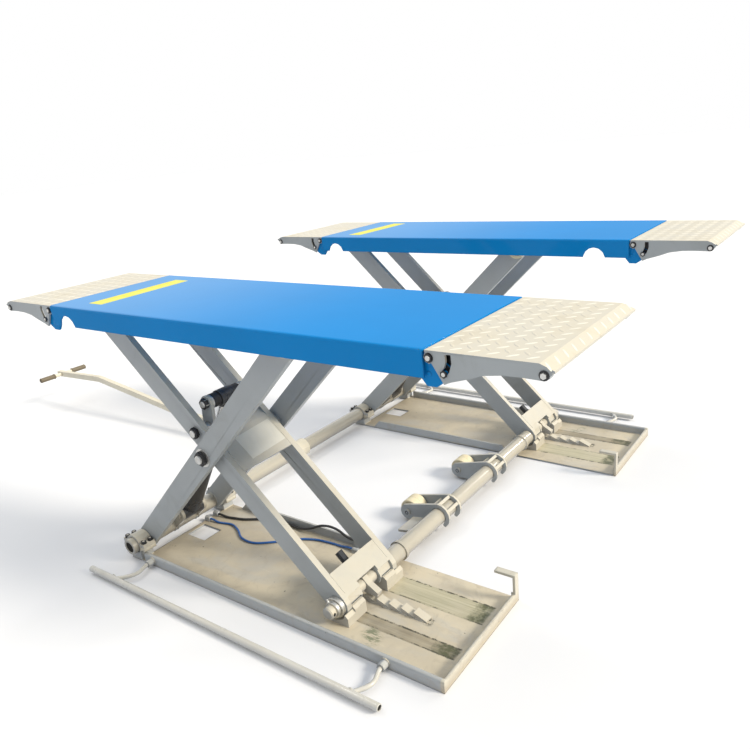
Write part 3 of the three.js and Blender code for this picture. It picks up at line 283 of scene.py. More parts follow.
# Small turned parts: near end, far end and radius, or rings of distance along the axis and radius
TIP_WASHER = (-0.001, 0.0016, 0.0104)
TIP_BOLT = [(0.0, 0.0066), (0.0056, 0.0066), (0.0062, 0.0058)]
PIN_WASHER = (0.0, 0.001, 0.0105)
PIN_HEAD = (0.0005, 0.0048, 0.0099)
PIN_TIP = [(0.0, 0.0058), (0.0058, 0.0058), (0.0064, 0.005)]
STOP_HEAD = (0.0002, 0.0042, 0.0086)
STOP_TIP = (0.0, 0.0048, 0.0045)
CARRIAGE_BOLT = [(-0.0022, 0.0078), (-0.0002, 0.0078), (0.0003, 0.0072), (0.0003, 0.0045), (-0.002, 0.0045)]
CLAMP_BOLT = [
    (-0.001, 0.0096), (0.0012, 0.0096), (0.0012, 0.0086), (0.008, 0.0086),
    (0.0094, 0.0078), (0.0094, 0.0045), (0.006, 0.0045),
]
NIPPLE = [
    (-0.003, 0.0045), (0.002, 0.0045), (0.002, 0.0028), (0.005, 0.0028),
    (0.0062, 0.0036), (0.0085, 0.0028), (0.0095, 0.0012),
]

# Weld beads, and the widths of soft edges
BEAD = 0.0028
THIN_BEAD = 0.002
DECK_BEAD = 0.0024
BEAD_OUT = 0.0005
BEAD_STEP_SHARE = 0.55
BEAD_RIPPLE_SHARES = (0.9, 0.14)
CAD_EDGE = 0.0012
SOFT_EDGE = 0.0008
ROLLER_EDGE = 0.0006
THREAD_EDGE = 0.0005
FINE_EDGE = 0.0004
PLATE_EDGE = 0.0003
FLAT_ANGLE = math.radians(0.6)
SHARP_ANGLE = math.radians(38)

# The photograph's camera
CAMERA_PLACE = (2.23348, -1.94919, 1.32727)
CAMERA_YAW = 0.6341
CAMERA_PITCH = 0.3776
CAMERA_ROLL = -0.0929
CAMERA_LENS = 32.73
CAMERA_SHIFT = (-0.0461, 0.0401)

# The light
SKY_COLOUR = (0.93, 0.97, 1.0)
SKY_LEVEL = 0.30
SKY_RISE = 1.2
KEY = (30, 15, 3.25, 14, (1.0, 0.95, 0.84))
RIM_PLACES = ((30, 68), (58, 170))
RIM = (0.28, 6, (1.0, 0.97, 0.92))
SUN_DISTANCE = 6
FLOOR_REACH = 40.0
FLOOR_DROP = 0.0005
FLOOR_LIT = (0.68, 0.68, 0.70)
FLOOR_SHOWN = (0.80, 0.785, 0.785)
FLOOR_PALE = (0.81, 0.795, 0.795)


def make_camera():
    """A camera at the photograph's viewing angle."""
    data = bpy.data.cameras.new("camera")
    data.sensor_width = 36
    data.lens = CAMERA_LENS
    data.shift_x, data.shift_y = CAMERA_SHIFT
    camera = bpy.data.objects.new("camera", data)
    bpy.context.scene.collection.objects.link(camera)
    level = Vector((math.cos(CAMERA_YAW), math.sin(CAMERA_YAW), 0))
    flat = Vector((-level.y, level.x, 0)) * math.cos(CAMERA_PITCH)
    ahead = flat - Vector((0, 0, math.sin(CAMERA_PITCH)))
    over = level.cross(ahead)
    right = level * math.cos(CAMERA_ROLL) + over * math.sin(CAMERA_ROLL)
    up = over * math.cos(CAMERA_ROLL) - level * math.sin(CAMERA_ROLL)
    turn = Matrix((right, up, -ahead)).transposed().to_4x4()
    camera.matrix_world = Matrix.Translation(CAMERA_PLACE) @ turn
    bpy.context.scene.camera = camera


class Field:
    """A value that varies over a surface: a node's output that takes plain arithmetic."""

    def __init__(self, graph, socket):
        self.graph = graph
        self.socket = socket

    def __add__(self, other):
        return self.graph.math("ADD", self, other)

    def __mul__(self, other):
        return self.graph.math("MULTIPLY", self, other)

    def __sub__(self, other):
        return self.graph.math("SUBTRACT", self, other)

    def __rsub__(self, other):
        return self.graph.math("SUBTRACT", other, self)

    def __abs__(self):
        return self.graph.math("ABSOLUTE", self)


class Graph:
    """The nodes of a material or a world, added one by one."""

    def __init__(self, owner):
        owner.use_nodes = True
        self.owner = owner
        self.tree = owner.node_tree
        self.place = self.node("TexCoord", output="Object")

    def put(self, value, socket):
        """Links a field to a socket, or sets the socket to a plain value."""
        if isinstance(value, Field):
            self.tree.links.new(value.socket, socket)
        elif value is not None:
            socket.default_value = value

    def node(self, kind, inputs=(), output=0, **settings):
        """One output of a new node, from its settings and its inputs by name or in order."""
        made = self.tree.nodes.new("ShaderNode" + kind)
        for name, value in settings.items():
            setattr(made, name, value)
        for key, value in inputs.items() if isinstance(inputs, dict) else enumerate(inputs):
            self.put(value, made.inputs[key])
        return Field(self, made.outputs[output])

    def fill(self, node, **values):
        """Sets or links the inputs of a node that is there already."""
        for name, value in values.items():
            self.put(value, self.tree.nodes[node].inputs[name.replace("_", " ")])

    def math(self, operation, a, b=None, clamp=False):
        return self.node("Math", (a, b), operation=operation, use_clamp=clamp)

    def scaled(self, factors, turn=0.0):
        return self.node("Mapping", {"Vector": self.place, "Scale": factors, "Rotation": (0, 0, turn)})

    def moved(self, shift):
        return self.node("Mapping", {"Vector": self.place, "Location": (shift, shift, 0)})

    def noise(self, scale, detail, rough, distortion=0.0, vector=None):
        inputs = {"Vector": vector or self.place, "Scale": scale, "Detail": detail}
        return self.node("TexNoise", {**inputs, "Roughness": rough, "Distortion": distortion}, "Fac")

    def ramp(self, value, low, high, to_low=0.0, to_high=1.0):
        """Maps low..high to to_low..to_high, smoothly, and holds the ends."""
        return self.node("MapRange", (value, low, high, to_low, to_high), interpolation_type="SMOOTHSTEP")

    def pattern(self, noise, levels, to=(0.0, 1.0), vector=None):
        """A share that rises where a noise passes its two levels."""
        return self.ramp(self.noise(*noise, vector=vector), *levels, *to)

    def mix(self, share, a, b):
        """One colour turned into another by a share."""
        a, b = (colour if isinstance(colour, Field) else (*colour, 1) for colour in (a, b))
        return self.node("Mix", {0: share, 6: a, 7: b}, 2, data_type="RGBA")

    def marked(self, tone, pattern, stretch, turn, strength, colour):
        """A tone with marks of another colour."""
        return self.mix(self.pattern(*pattern, vector=self.scaled(stretch, turn)) * strength, tone, colour)

    def bump(self, height, distance, strength, normal=None):
        inputs = {"Height": height, "Distance": distance, "Strength": strength, "Normal": normal}
        return self.node("Bump", inputs)

    def rounded(self, radius, samples=8):
        """Normals that run smoothly over an edge."""
        return self.node("Bevel", {"Radius": radius}, samples=samples)

    def dot(self, a, b):
        return self.node("VectorMath", (a, b), "Value", operation="DOT_PRODUCT")

    def edges(self):
        """A share that rises towards sharp edges."""
        normal = self.node("NewGeometry", output="Normal")
        return self.ramp(1.0 - self.dot(self.rounded(WORN_EDGE, 4), normal), *EDGE_LEVELS)

    def upward(self, low=0.15, high=0.9):
        """A share that rises where a face looks up or forwards, towards the front light, as it stands when
        raised.
        """
        return self.ramp(self.dot(self.node("TexCoord", output="Normal"), DUST_AND_LIGHT_FALL), low, high)

    def axis(self, index):
        return self.node("SeparateXYZ", (self.place,), index)

    def unit_y(self):
        """Distance outwards from the middle of a unit, whichever side it stands on."""
        return abs(self.axis(1)) - UNIT_OFFSET

    def band(self, distance, middle, half, soft):
        """A share that is 1 where distance is within half of middle, with soft edges."""
        return self.ramp(abs(distance - middle), half - soft, half + soft, 1.0, 0.0)

    def ray(self, kind):
        """1 for rays of one kind, else 0."""
        return self.node("LightPath", output="Is " + kind + " Ray")

    def finish(self, colour, roughness, normal=None, metallic=0.0, **plain):
        values = {"Base_Color": colour, "Roughness": roughness, "Normal": normal, "Metallic": metallic}
        self.fill("Principled BSDF", **values, **plain)
        return self.owner


# Noises: scale per metre, detail, roughness and distortion
CLOUD = (9.0, 6, 0.65, 0.6)
TRAY_CLOUD = (3.4, 6, 0.62, 0.5)
METAL_CLOUD = (24.0, 5, 0.6)
SKIN_CLOUD = (20.0, 5, 0.65)
PEEL = (420.0, 2, 0.5)
GRAIN = (300.0, 3, 0.6)
MACHINED = (900.0, 2, 0.6)
STREAK = (70.0, 6, 0.75)
TRACK_CHIPS = (46.0, 5, 0.75)

# Depths and strengths of the fine reliefs
PEEL_RELIEF = (0.0003, 0.4)
TRAY_RELIEF = (0.0004, 0.45)
MACHINED_RELIEF = (0.00012, 0.5)
GRAIN_DEPTH = 0.0002
GRIP_GRAIN_DEPTH = 0.0003
HOSE_GRAIN_DEPTH = 0.00005

# Patterns: a noise and the two levels between which its share rises
EVEN = (0.3, 0.7)
DRIFT = ((3.2, 3, 0.6), EVEN)
FLOOR_DRIFT = ((2.0, 3, 0.5), EVEN)
SPECKS = ((170.0, 2, 0.5), (0.71, 0.76))
CHIPS = ((42.0, 5, 0.7), (0.52, 0.62))
TRAY_CHIPS = ((34.0, 5, 0.7), (0.52, 0.60))
WORN_TRACK = ((7.0, 4, 0.6), (0.34, 0.62), (0.6, 0.95))
SMUDGES = ((38.0, 5, 0.7), (0.36, 0.6), (0.35, 0.95))
WIPED = ((90.0, 4, 0.7), (0.45, 0.6))
GREASE_SPOTS = ((120.0, 4, 0.7), (0.42, 0.55))

# Marks on the trays: a pattern, its stretch, its turn, its strength and its colour
WHOLE = (1.0, 1.0, 1.0)
WASHED = (((5.5, 5, 0.62, 0.8), (0.48, 0.68)), (0.55, 1.3, 1.0), 0.5, 0.5, (0.47, 0.455, 0.42))
SMEARS = (((16.0, 6, 0.68, 1.2), (0.5, 0.72)), WHOLE, 0.0, 0.34, (0.34, 0.28, 0.205))
SCRATCHES = (((75.0, 3, 0.6), (0.68, 0.71)), (0.10, 1.6, 1.0), 0.35, 0.3, (0.72, 0.67, 0.56))
SPOTS = (((58.0, 2, 0.5), (0.745, 0.765)), WHOLE, 0.0, 0.7, (0.09, 0.08, 0.06))

# Shared tones and levels
# Dust, and a painted lit tone: it pales faces that look up or towards the front light
DUST_AND_LIT_TONE = (0.66, 0.58, 0.43)
GRIME = (0.20, 0.18, 0.14)
PRIMER = (0.15, 0.135, 0.12)
OIL = (0.07, 0.06, 0.05)
DUST_AND_LIGHT_FALL = (0.6, 0.0, 0.8)
SOILED = (0.5, 0.78)
WORN_EDGE = 0.003
EDGE_LEVELS = (0.02, 0.12)

# The deck: where its painted sheen fades, and the band of painted shade on the ears beside the ramps' side
# plates (middle, half, softness)
HINGES = [PIVOT["right_" + end + "_ramp_hinge"] for end in ENDS]
DECK_MIDDLE = (HINGES[0].x + HINGES[1].x) / 2
RAMP_PIVOT_AWAY = (HINGES[0].x - HINGES[1].x) / 2
DECK_SHEEN_FADE = (HINGES[1].x, HINGES[0].x - 0.25, 0.17, 0.0)
DECK_SHEEN = (0.72, 0.80, 0.84)
DECK_ROUND = 0.006
# Painted shade on the ears' outer faces where the ramps' slots show them
EAR_OUTSIDE = (EAR_FACE + 0.006, 0.0008, 0.0002)
EAR_SHADE_AWAY = (0.047, 0.009, 0.001)
EAR_SHADE_ALONG = (0.048, 0.017, 0.001)
EAR_SLOT_SHADE = (0.02, 0.02, 0.022)

# The trays: the tracks that the shoes rub, the grease wiped off the outer one, and painted light towards the
# front
TRAY_LOW, TRAY_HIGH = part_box("right_base_tray")
TRAY_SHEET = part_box("right_safety_rack")[0].z - SEAT_GAP
TRAY_LEVELS = (0.0004, 0.0012, 1.0, 0.0)
# Where the floor's painted light grows towards the front
TRAY_FRONT_LIGHT = (TRAY_LOW.x + 0.25, TRAY_HIGH.x - 0.2)
# Where the front end plate and the hook take a painted lit tone, darker towards the bottom
END_PLATE = (TRAY_HIGH.x - END_SHEET - 0.003, TRAY_HIGH.x - END_SHEET + 0.001)
RAIL_CAP = (RAIL_TOP + 0.001, RAIL_TOP + 0.003)
TRAY_ROUND = 0.009
TRAY_SIDE = (0.41, 0.425, 0.43)
LIT_FRONT_TONES = ((0.47, 0.40, 0.29), (0.60, 0.555, 0.45))
FLOOR_TONES = ((0.44, 0.375, 0.275), (0.66, 0.57, 0.415))
TRACK_NEAR = 0.053
TRACK_FAR = 0.140
TRACK_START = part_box("right_slide_shoe_outer")[1].x - 0.02
TRACK_END = TRAY_HIGH.x - 0.038
TRACK_ALONG = ((TRACK_START + TRACK_END) / 2, (TRACK_END - TRACK_START) / 2, 0.004)
TRACK_RIM = 0.005
TRACK_SOFT = 0.002
TRACK_STREAKS = (0.34, 0.66)
RIM_LEVELS = (-0.04, 0.07, 0.1, 1.0)
RAGGED_SIDE = 0.014
RAGGED_END = 0.012
RAGGED_PATCH = 0.05
PATCH_SOFT = 0.012
TRACK_EDGE = (0.06, 0.055, 0.035)
INNER_TRACK = ((0.37, 0.335, 0.215), (0.56, 0.505, 0.345), (0.10, 0.105, 0.05))
OUTER_TRACK = ((0.20, 0.165, 0.105), (0.37, 0.31, 0.205), (0.085, 0.09, 0.04))
INNER_REACH = (-TRACK_NEAR, -TRACK_FAR, 0.05)
OUTER_REACH = (TRACK_NEAR + 0.006, TRACK_FAR - 0.034, 0.075)
SMEAR_PLACE = (TRACK_START + 0.075, TRACK_FAR - 0.024)
SMEAR_SLANT = (0.80, 0.60)
SMEAR_TURN = -0.64
SMEAR_ALONG = (0.035, 0.035, 0.012)
SMEAR_ACROSS = (0.0, 0.022, 0.012)
SMEAR_TONE = (0.16, 0.18, 0.10)
LUMP_ALONG = (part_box("right_safety_rack")[1].x + 0.004, 0.012, 0.007)
LUMP_ACROSS = (0.006, 0.014, 0.008)
LUMP_TONE = (0.03, 0.032, 0.02)


def material(name):
    """The graph of a new material."""
    return Graph(bpy.data.materials.new(name))


def paint(
    name, colour, roughness=0.38, dust=0.2, settled_and_lit=0.0, wear=0.5, drift=0.88, rolled=0.0, layer=None, **plain
):
    """Sprayed steel: slight orange peel, drifting tone, dust and a painted lit tone on faces that look up or
    forwards, and primer showing at worn edges.
    """
    g = material(name)
    tone = g.mix(g.pattern(*DRIFT), [c * drift for c in colour], colour)
    cloud = g.noise(*CLOUD)
    if layer:
        tone = layer(g, tone)
    # Dust and painted light on faces that look up or forwards
    if settled_and_lit:
        tone = g.mix(g.upward() * g.ramp(cloud, *EVEN, settled_and_lit * 0.75, settled_and_lit), tone, DUST_AND_LIT_TONE)
    if dust:
        for share in (g.ramp(cloud, *SOILED), g.pattern(*SPECKS)):
            tone = g.mix(share * dust, tone, GRIME)
    bare = g.edges() * g.pattern(*CHIPS) * wear
    tone = g.mix(bare, tone, PRIMER)
    rough = g.ramp(cloud, 0.35, 0.75, roughness - 0.04, roughness + 0.1) + bare * 0.2
    under = g.rounded(rolled) if rolled else None
    normal = g.bump(g.noise(*PEEL) * 0.3 - bare, *PEEL_RELIEF, under)
    return g.finish(tone, rough, normal, Coat_Normal=under, **plain)


def deck_sheen_and_shade(g, tone):
    """A painted sheen on a deck's upward faces that grows towards its rear end, and painted shade on its ears
    behind the ramps' slots.
    """
    # Painted sheen: a pale tone on upward faces, strongest at the rear hinge
    tone = g.mix(g.upward() * g.ramp(g.axis(0), *DECK_SHEEN_FADE), tone, DECK_SHEEN)
    x = abs(g.axis(0) - DECK_MIDDLE) - RAMP_PIVOT_AWAY
    z = g.axis(2) - HINGES[0].z
    # Painted shade: the ears darken near the hinge, behind the ramps' slots
    marking = g.band(abs(g.unit_y()), *EAR_OUTSIDE) * g.band(g.math("SQRT", x * x + z * z), *EAR_SHADE_AWAY)
    return g.mix(marking * g.band(x, *EAR_SHADE_ALONG), tone, EAR_SLOT_SHADE)


def streaks(g):
    """Long scratches along X."""
    return g.noise(*STREAK, vector=g.scaled((0.035, 1.0, 1.0)))


def rub_band(g, tone, level, reach, colours, seed):
    """One rubbed track on a tray's floor: streaks, a ragged dark edge and a greasy front end."""
    near, far, patch = reach
    deep, pale, grease = colours
    middle, half = (near + far) / 2, abs(far - near) / 2
    across = g.unit_y()
    chips = g.noise(*TRACK_CHIPS, vector=g.moved(seed)) - 0.5
    along = g.band(g.axis(0) + chips * RAGGED_END, *TRACK_ALONG)
    inside = g.band(across + chips * RAGGED_SIDE, middle, half, TRACK_SOFT) * along * level
    marking = g.mix(g.ramp(streaks(g), *TRACK_STREAKS), deep, pale)
    tone = g.mix(inside * g.pattern(*WORN_TRACK, vector=g.moved(seed)), tone, marking)
    stop = g.band(g.axis(0) + chips * RAGGED_PATCH, TRACK_END - patch / 2, patch / 2, PATCH_SOFT)
    tone = g.mix(inside * stop * g.pattern(*SMUDGES), tone, grease)
    rim = inside - inside * g.band(across, middle, half - TRACK_RIM, TRACK_SOFT)
    return g.mix(rim * g.ramp(chips, *RIM_LEVELS), tone, TRACK_EDGE), inside


def smeared(g, tone, level):
    """Grease wiped off the outer track at a slant, and the dark lump at the end of the rack."""
    x, y = g.axis(0) - SMEAR_PLACE[0], g.unit_y() - SMEAR_PLACE[1]
    cos, sin = SMEAR_SLANT
    fade = g.band(x * cos + y * sin, *SMEAR_ALONG) * g.band(y * cos - x * sin, *SMEAR_ACROSS)
    wiped = g.pattern(*WIPED, vector=g.scaled((0.25, 1.0, 1.0), SMEAR_TURN))
    tone = g.mix(fade * wiped * level * 0.85, tone, SMEAR_TONE)
    lump = g.band(g.axis(0), *LUMP_ALONG) * g.band(g.unit_y(), *LUMP_ACROSS)
    return g.mix(lump * g.pattern(*GREASE_SPOTS) * level, tone, LUMP_TONE)


def tray_paint():
    """The trays' paint, with the tracks that the shoes rub into the floor at the front, and painted light
    that pales the floor, the end plate and the hook at the front.
    """
    g = material("tray_paint")
    level = g.ramp(abs(g.axis(2) - TRAY_SHEET), *TRAY_LEVELS)
    cloud = g.noise(*TRAY_CLOUD)
    # The rails' upper faces take dust and a painted lit tone
    side = g.mix(g.upward(0.5, 0.95) * 0.3, TRAY_SIDE, DUST_AND_LIT_TONE)
    # Painted light: the end plate and the hook are paler, darker towards the bottom
    lit_front = g.math("MAXIMUM", g.ramp(g.axis(0), *END_PLATE), g.ramp(g.axis(2), *RAIL_CAP))
    side = g.mix(lit_front, side, g.mix(g.ramp(g.axis(2), 0.0, RAIL_TOP), *LIT_FRONT_TONES))
    # Painted light: the floor pales towards the front, and in random clouds
    pale = g.ramp(cloud, 0.34, 0.66) * 0.55 + g.ramp(g.axis(0), *TRAY_FRONT_LIGHT) * 0.45
    tone = g.mix(level, side, g.marked(g.mix(pale, *FLOOR_TONES), *WASHED))
    for mark in (SMEARS, SCRATCHES, SPOTS):
        tone = g.marked(tone, *mark)
    tone, inner = rub_band(g, tone, level, INNER_REACH, INNER_TRACK, 0.0)
    tone, outer = rub_band(g, tone, level, OUTER_REACH, OUTER_TRACK, 3.7)
    tone = smeared(g, tone, level)
    tone = g.mix(g.edges() * g.pattern(*TRAY_CHIPS) * 0.6, tone, PRIMER)
    under = g.rounded(TRAY_ROUND)
    normal = g.bump(g.noise(*GRAIN) + (inner + outer) * streaks(g), *TRAY_RELIEF, under)
    coat = (1.0 - level) * 0.5
    rough = g.ramp(cloud, *EVEN, 0.40, 0.58)
    return g.finish(tone, rough, normal, Coat_Normal=under, Coat_Weight=coat, Coat_Roughness=0.14)


def metal(name, colour, roughness, soil=0.3, brushed=WHOLE):
    """Bare or plated steel, with fine machining lines and greasy patches."""
    g = material(name)
    cloud = g.noise(*METAL_CLOUD)
    tone = g.mix(g.ramp(cloud, 0.45, 0.7) * soil, colour, OIL)
    lines = g.noise(*MACHINED, vector=g.scaled(brushed))
    rough = g.ramp(cloud, *EVEN, roughness, roughness + 0.18) + lines * 0.08
    return g.finish(tone, rough, g.bump(lines, *MACHINED_RELIEF), 0.9)


def moulded(name, colour, roughness, soil=0.2, grain=380.0, depth=GRAIN_DEPTH, **plain):
    """Moulded plastic or rubber with a fine grain and a little dirt."""
    g = material(name)
    cloud = g.noise(*SKIN_CLOUD)
    tone = g.mix(g.ramp(cloud, 0.45, 0.75) * soil, colour, [c * 0.45 for c in colour])
    rough = g.ramp(cloud, *EVEN, roughness, roughness + 0.15)
    return g.finish(tone, rough, g.bump(g.noise(grain, 3, 0.6), depth, 0.6), **plain)


make_camera()

# The finishes
BLUE = paint(
    "blue_paint",
    (0.005, 0.225, 0.58),
    0.3,
    dust=0.0,
    wear=0.15,
    drift=0.95,
    rolled=DECK_ROUND,
    layer=deck_sheen_and_shade,
    Specular_IOR_Level=0.0,
    Coat_Weight=0.2,
    Coat_Roughness=0.05,
)
TUBE = paint("tube_paint", (0.37, 0.345, 0.295), 0.2, settled_and_lit=0.45, Coat_Weight=0.8, Coat_Roughness=0.09)
# Paler than the grey paint: a painted lit tone
TOW = paint("tow_paint", (0.76, 0.70, 0.56), 0.4, 0.15, 0.5)
# Near-black steel for the painted shade inside open tube ends
BORE_SHADE = metal("painted_bore_shade", (0.03, 0.028, 0.025), 0.7, 0.2)
GREY = paint("grey_paint", (0.40, 0.42, 0.425), settled_and_lit=0.72)
# Paler than the grey paint, the extra paleness a painted highlight
GUARD = paint("guard_paint", (0.60, 0.59, 0.555), 0.3, 0.18, 0.4, 0.6, Coat_Weight=0.5, Coat_Roughness=0.12)
CREAM = paint("warm_grey_paint", (0.44, 0.43, 0.405), 0.42, 0.22, 0.8, 0.7)
TREAD = paint("tread_paint", (0.40, 0.425, 0.435), 0.42, 0.2, 0.85, 0.4)
# Worn studs with a painted highlight
STUD = paint("tread_studs", (0.78, 0.73, 0.62), 0.34, 0.05, wear=0.0)
TRAY = tray_paint()
COLLAR = metal("worn_collar", (0.60, 0.585, 0.54), 0.3, 0.35)
STEEL = metal("polished_steel", (0.66, 0.65, 0.62), 0.26)
CHROME = metal("chromed_rod", (0.78, 0.78, 0.78), 0.12, 0.1, (0.05, 1.0, 1.0))
BLACK = metal("black_steel", (0.055, 0.055, 0.058), 0.34, 0.2)
BARREL = paint("black_paint", (0.045, 0.046, 0.05), 0.3, 0.2, wear=0.4)
SOFT_LIGHT = {"Subsurface_Weight": 0.1, "Subsurface_Radius": (0.004, 0.003, 0.002)}
NYLON = moulded("cream_nylon", (0.74, 0.64, 0.43), 0.42, 0.25, **SOFT_LIGHT)
RUBBER = moulded("black_rubber", (0.022, 0.022, 0.023), 0.5, 0.3)
GRIP = moulded("worn_grip", (0.17, 0.135, 0.085), 0.5, 0.5, 500.0, GRIP_GRAIN_DEPTH)
AIRLINE = moulded("blue_hose", (0.015, 0.10, 0.34), 0.26, 0.1, 600.0, HOSE_GRAIN_DEPTH)
YELLOW = moulded("yellow_strip", (0.72, 0.66, 0.03), 0.35, 0.1)
PALE = moulded("pale_plate", (0.70, 0.66, 0.56), 0.38, 0.12)

# The two hoses, and their routes in the right unit's frame from fitting to fitting
SUPPLY_RADIUS = 0.0045
AIR_RADIUS = 0.004
SUPPLY_ROUTE = [
    (-0.5747, -0.125, 0.015), (-0.560, -0.125, 0.015), (-0.530, -0.128, 0.011), (-0.500, -0.134, 0.011),
    (-0.453, -0.147, 0.011), (-0.394, -0.176, 0.011), (-0.330, -0.191, 0.011), (-0.262, -0.196, 0.013),
    (-0.205, -0.192, 0.015), (-0.152, -0.193, 0.029), (-0.095, -0.195, 0.055), (-0.050, -0.195, 0.063),
    (-0.013, -0.195, 0.058), (0.020, -0.195, 0.043), (0.044, -0.195, 0.040), (0.0597, -0.195, 0.040),
]
AIR_ROUTE = [
    (-0.5747, -0.085, 0.015), (-0.560, -0.085, 0.015), (-0.530, -0.086, 0.0105), (-0.470, -0.098, 0.0105),
    (-0.420, -0.082, 0.0105), (-0.365, -0.050, 0.0105), (-0.300, -0.046, 0.0105), (-0.240, -0.080, 0.0105),
    (-0.180, -0.130, 0.0105), (-0.110, -0.165, 0.0105), (-0.040, -0.176, 0.0105), (0.005, -0.177, 0.0105),
    (0.040, -0.177, 0.015), (0.0597, -0.177, 0.015),
]


def smooth_line(points, steps=8):
    """Points along a smooth line through the given ones."""
    ends = [2 * points[0] - points[1], *points, 2 * points[-1] - points[-2]]
    line = []
    for a, b, c, d in zip(ends, ends[1:], ends[2:], ends[3:]):
        times = [0.0]
        for p, q in ((a, b), (b, c), (c, d)):
            times.append(times[-1] + (q - p).length ** 0.5)
        for i in range(steps):
            t = times[1] + (times[2] - times[1]) * i / steps
            ab = a.lerp(b, t / times[1])
            bc = b.lerp(c, (t - times[1]) / (times[2] - times[1]))
            cd = c.lerp(d, (t - times[2]) / (times[3] - times[2]))
            abc = ab.lerp(bc, t / times[2])
            bcd = bc.lerp(cd, (t - times[1]) / (times[3] - times[1]))
            line.append(abc.lerp(bcd, (t - times[1]) / (times[2] - times[1])))
    return [*line, points[-1]]


def hose(name, node, route, radius, finish):
    """A hose along its route on the right base."""
    line = smooth_line([Vector((x + TRAY_ORIGIN, -UNIT_OFFSET - y, z)) for x, y, z in route])
    curve = bpy.data.curves.new(name, "CURVE")
    curve.dimensions = "3D"
    curve.bevel_depth = radius
    curve.bevel_resolution = 6
    curve.use_fill_caps = True
    spline = curve.splines.new("POLY")
    spline.points.add(len(line) - 1)
    for point, place in zip(spline.points, line):
        point.co = (*place, 1)
    curve.materials.append(finish)
    piece = bpy.data.objects.new(name, curve)
    bpy.context.scene.collection.objects.link(piece)
    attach(piece, "base")
    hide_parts(node)
    length = sum((b - a).length for a, b in zip(line, line[1:]))


hose("supply_hose", "hydraulic_hose", SUPPLY_ROUTE, SUPPLY_RADIUS, RUBBER)
hose("pawl_air_hose", "air_hose", AIR_ROUTE, AIR_RADIUS, AIRLINE)

QUARTER = Matrix.Rotation(math.pi / 2, 4, "X")


def smooth(piece):
    for polygon in piece.data.polygons:
        polygon.use_smooth = True


def soften(piece, width, planar):
    """Rounds the piece's edges and shades its round faces smooth."""
    smooth(piece)
    if planar:
        flat = piece.modifiers.new("flat", "DECIMATE")
        flat.decimate_type = "DISSOLVE"
        flat.angle_limit = FLAT_ANGLE
    bevel = piece.modifiers.new("edges", "BEVEL")
    bevel.width = width
    bevel.segments = 2
    bevel.limit_method = "ANGLE"
    bevel.angle_limit = SHARP_ANGLE
    bevel.use_clamp_overlap = False
    bevel.miter_outer = "MITER_ARC"
    weighted = piece.modifiers.new("shading", "WEIGHTED_NORMAL")
    weighted.keep_sharp = True
    weighted.weight = 60


def dress(node, finish):
    """Gives a CAD node its finish and soft edges."""
    piece = frame["nodes"][node]
    piece.data.materials.clear()
    piece.data.materials.append(finish)
    soften(piece, CAD_EDGE, True)


def piece_of(bm, name, body, finishes, node=None, soft=SOFT_EDGE):
    """The bmesh as a piece that rides on a body, in place of a node where one is given."""
    bmesh.ops.recalc_face_normals(bm, faces=bm.faces)
    mesh = bpy.data.meshes.new(name)
    bm.to_mesh(mesh)
    bm.free()
    for finish in finishes:
        mesh.materials.append(finish)
    piece = bpy.data.objects.new(name, mesh)
    bpy.context.scene.collection.objects.link(piece)
    if soft:
        soften(piece, soft, False)
    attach(piece, body)
    if node:
        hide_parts(node)
    return piece


def turned_place(pivot, turn=0.0, side=1):
    """A frame at a pivot, turned about Y like the legs, whose Y runs outwards on that side."""
    return Matrix.Translation(pivot) @ Matrix.Rotation(-turn, 4, "Y") @ Matrix.Diagonal((1, side, 1, 1))


def shifted(place, x=0.0, y=0.0, z=0.0, way=1, face=1):
    """A frame moved within another, mirrored along X or Y where way or face is -1."""
    return place @ Matrix.Translation((x, y, z)) @ Matrix.Diagonal((way, face, 1, 1))


def pivot_place(pivot, unit, turn=0.0, face=1):
    """A turned frame in the middle of a unit, level with a pivot, whose Y runs towards a face."""
    middle = Vector((pivot.x, SIDES[unit] * UNIT_OFFSET, pivot.z))
    return turned_place(middle, turn, SIDES[unit] * face)


def unit_place(unit):
    """The frame of a unit that doesn't turn: X as in the base, Y outwards, Z from the floor."""
    return pivot_place(Vector((TRAY_ORIGIN, 0, 0)), unit)


def ramp_place(unit, end):
    """A frame at a ramp's hinge, whose X runs out along the ramp."""
    pivot = PIVOT[unit + "_" + end + "_ramp_hinge"]
    return shifted(Matrix.Identity(4), pivot.x, SIDES[unit] * UNIT_OFFSET, pivot.z, ENDS[end], ENDS[end])


def skin(bm, loops, index=0, caps=(0, -1)):
    """Joins loops of points into a skin, with a face over each loop that caps names."""
    rings = [[bm.verts.new(point) for point in loop] for loop in loops]
    faces = [bm.faces.new(rings[cap]) for cap in caps]
    for one, two in zip(rings, rings[1:]):
        for i in range(len(one)):
            j = (i + 1) % len(one)
            faces.append(bm.faces.new((one[i], one[j], two[j], two[i])))
    for face in faces:
        face.material_index = index
    return rings


def revolve(bm, rings, place, segments=48, along="Y", index=0):
    """Turns (distance, radius) pairs round the axis, in the piece's material of that index."""
    loops = []
    for far, radius in rings:
        loop = []
        for i in range(segments):
            turn = 2 * math.pi * (i + 0.5) / segments
            a, b = radius * math.cos(turn), radius * math.sin(turn)
            loop.append(place @ Vector((a, far, b) if along == "Y" else (far, a, b)))
        loops.append(loop)
    closed = rings[0] == rings[-1]
    made = skin(bm, loops, index, () if closed else (0, -1))
    if closed:
        bmesh.ops.remove_doubles(bm, verts=made[0] + made[-1], dist=1e-7)


def drum(near, far, radius, edge=0.0):
    """The rings of a round bar, whose rims are turned off where edge is given."""
    if not edge:
        return [(near, radius), (far, radius)]
    return [(near, radius - edge), (near + edge, radius), (far - edge, radius), (far, radius - edge)]


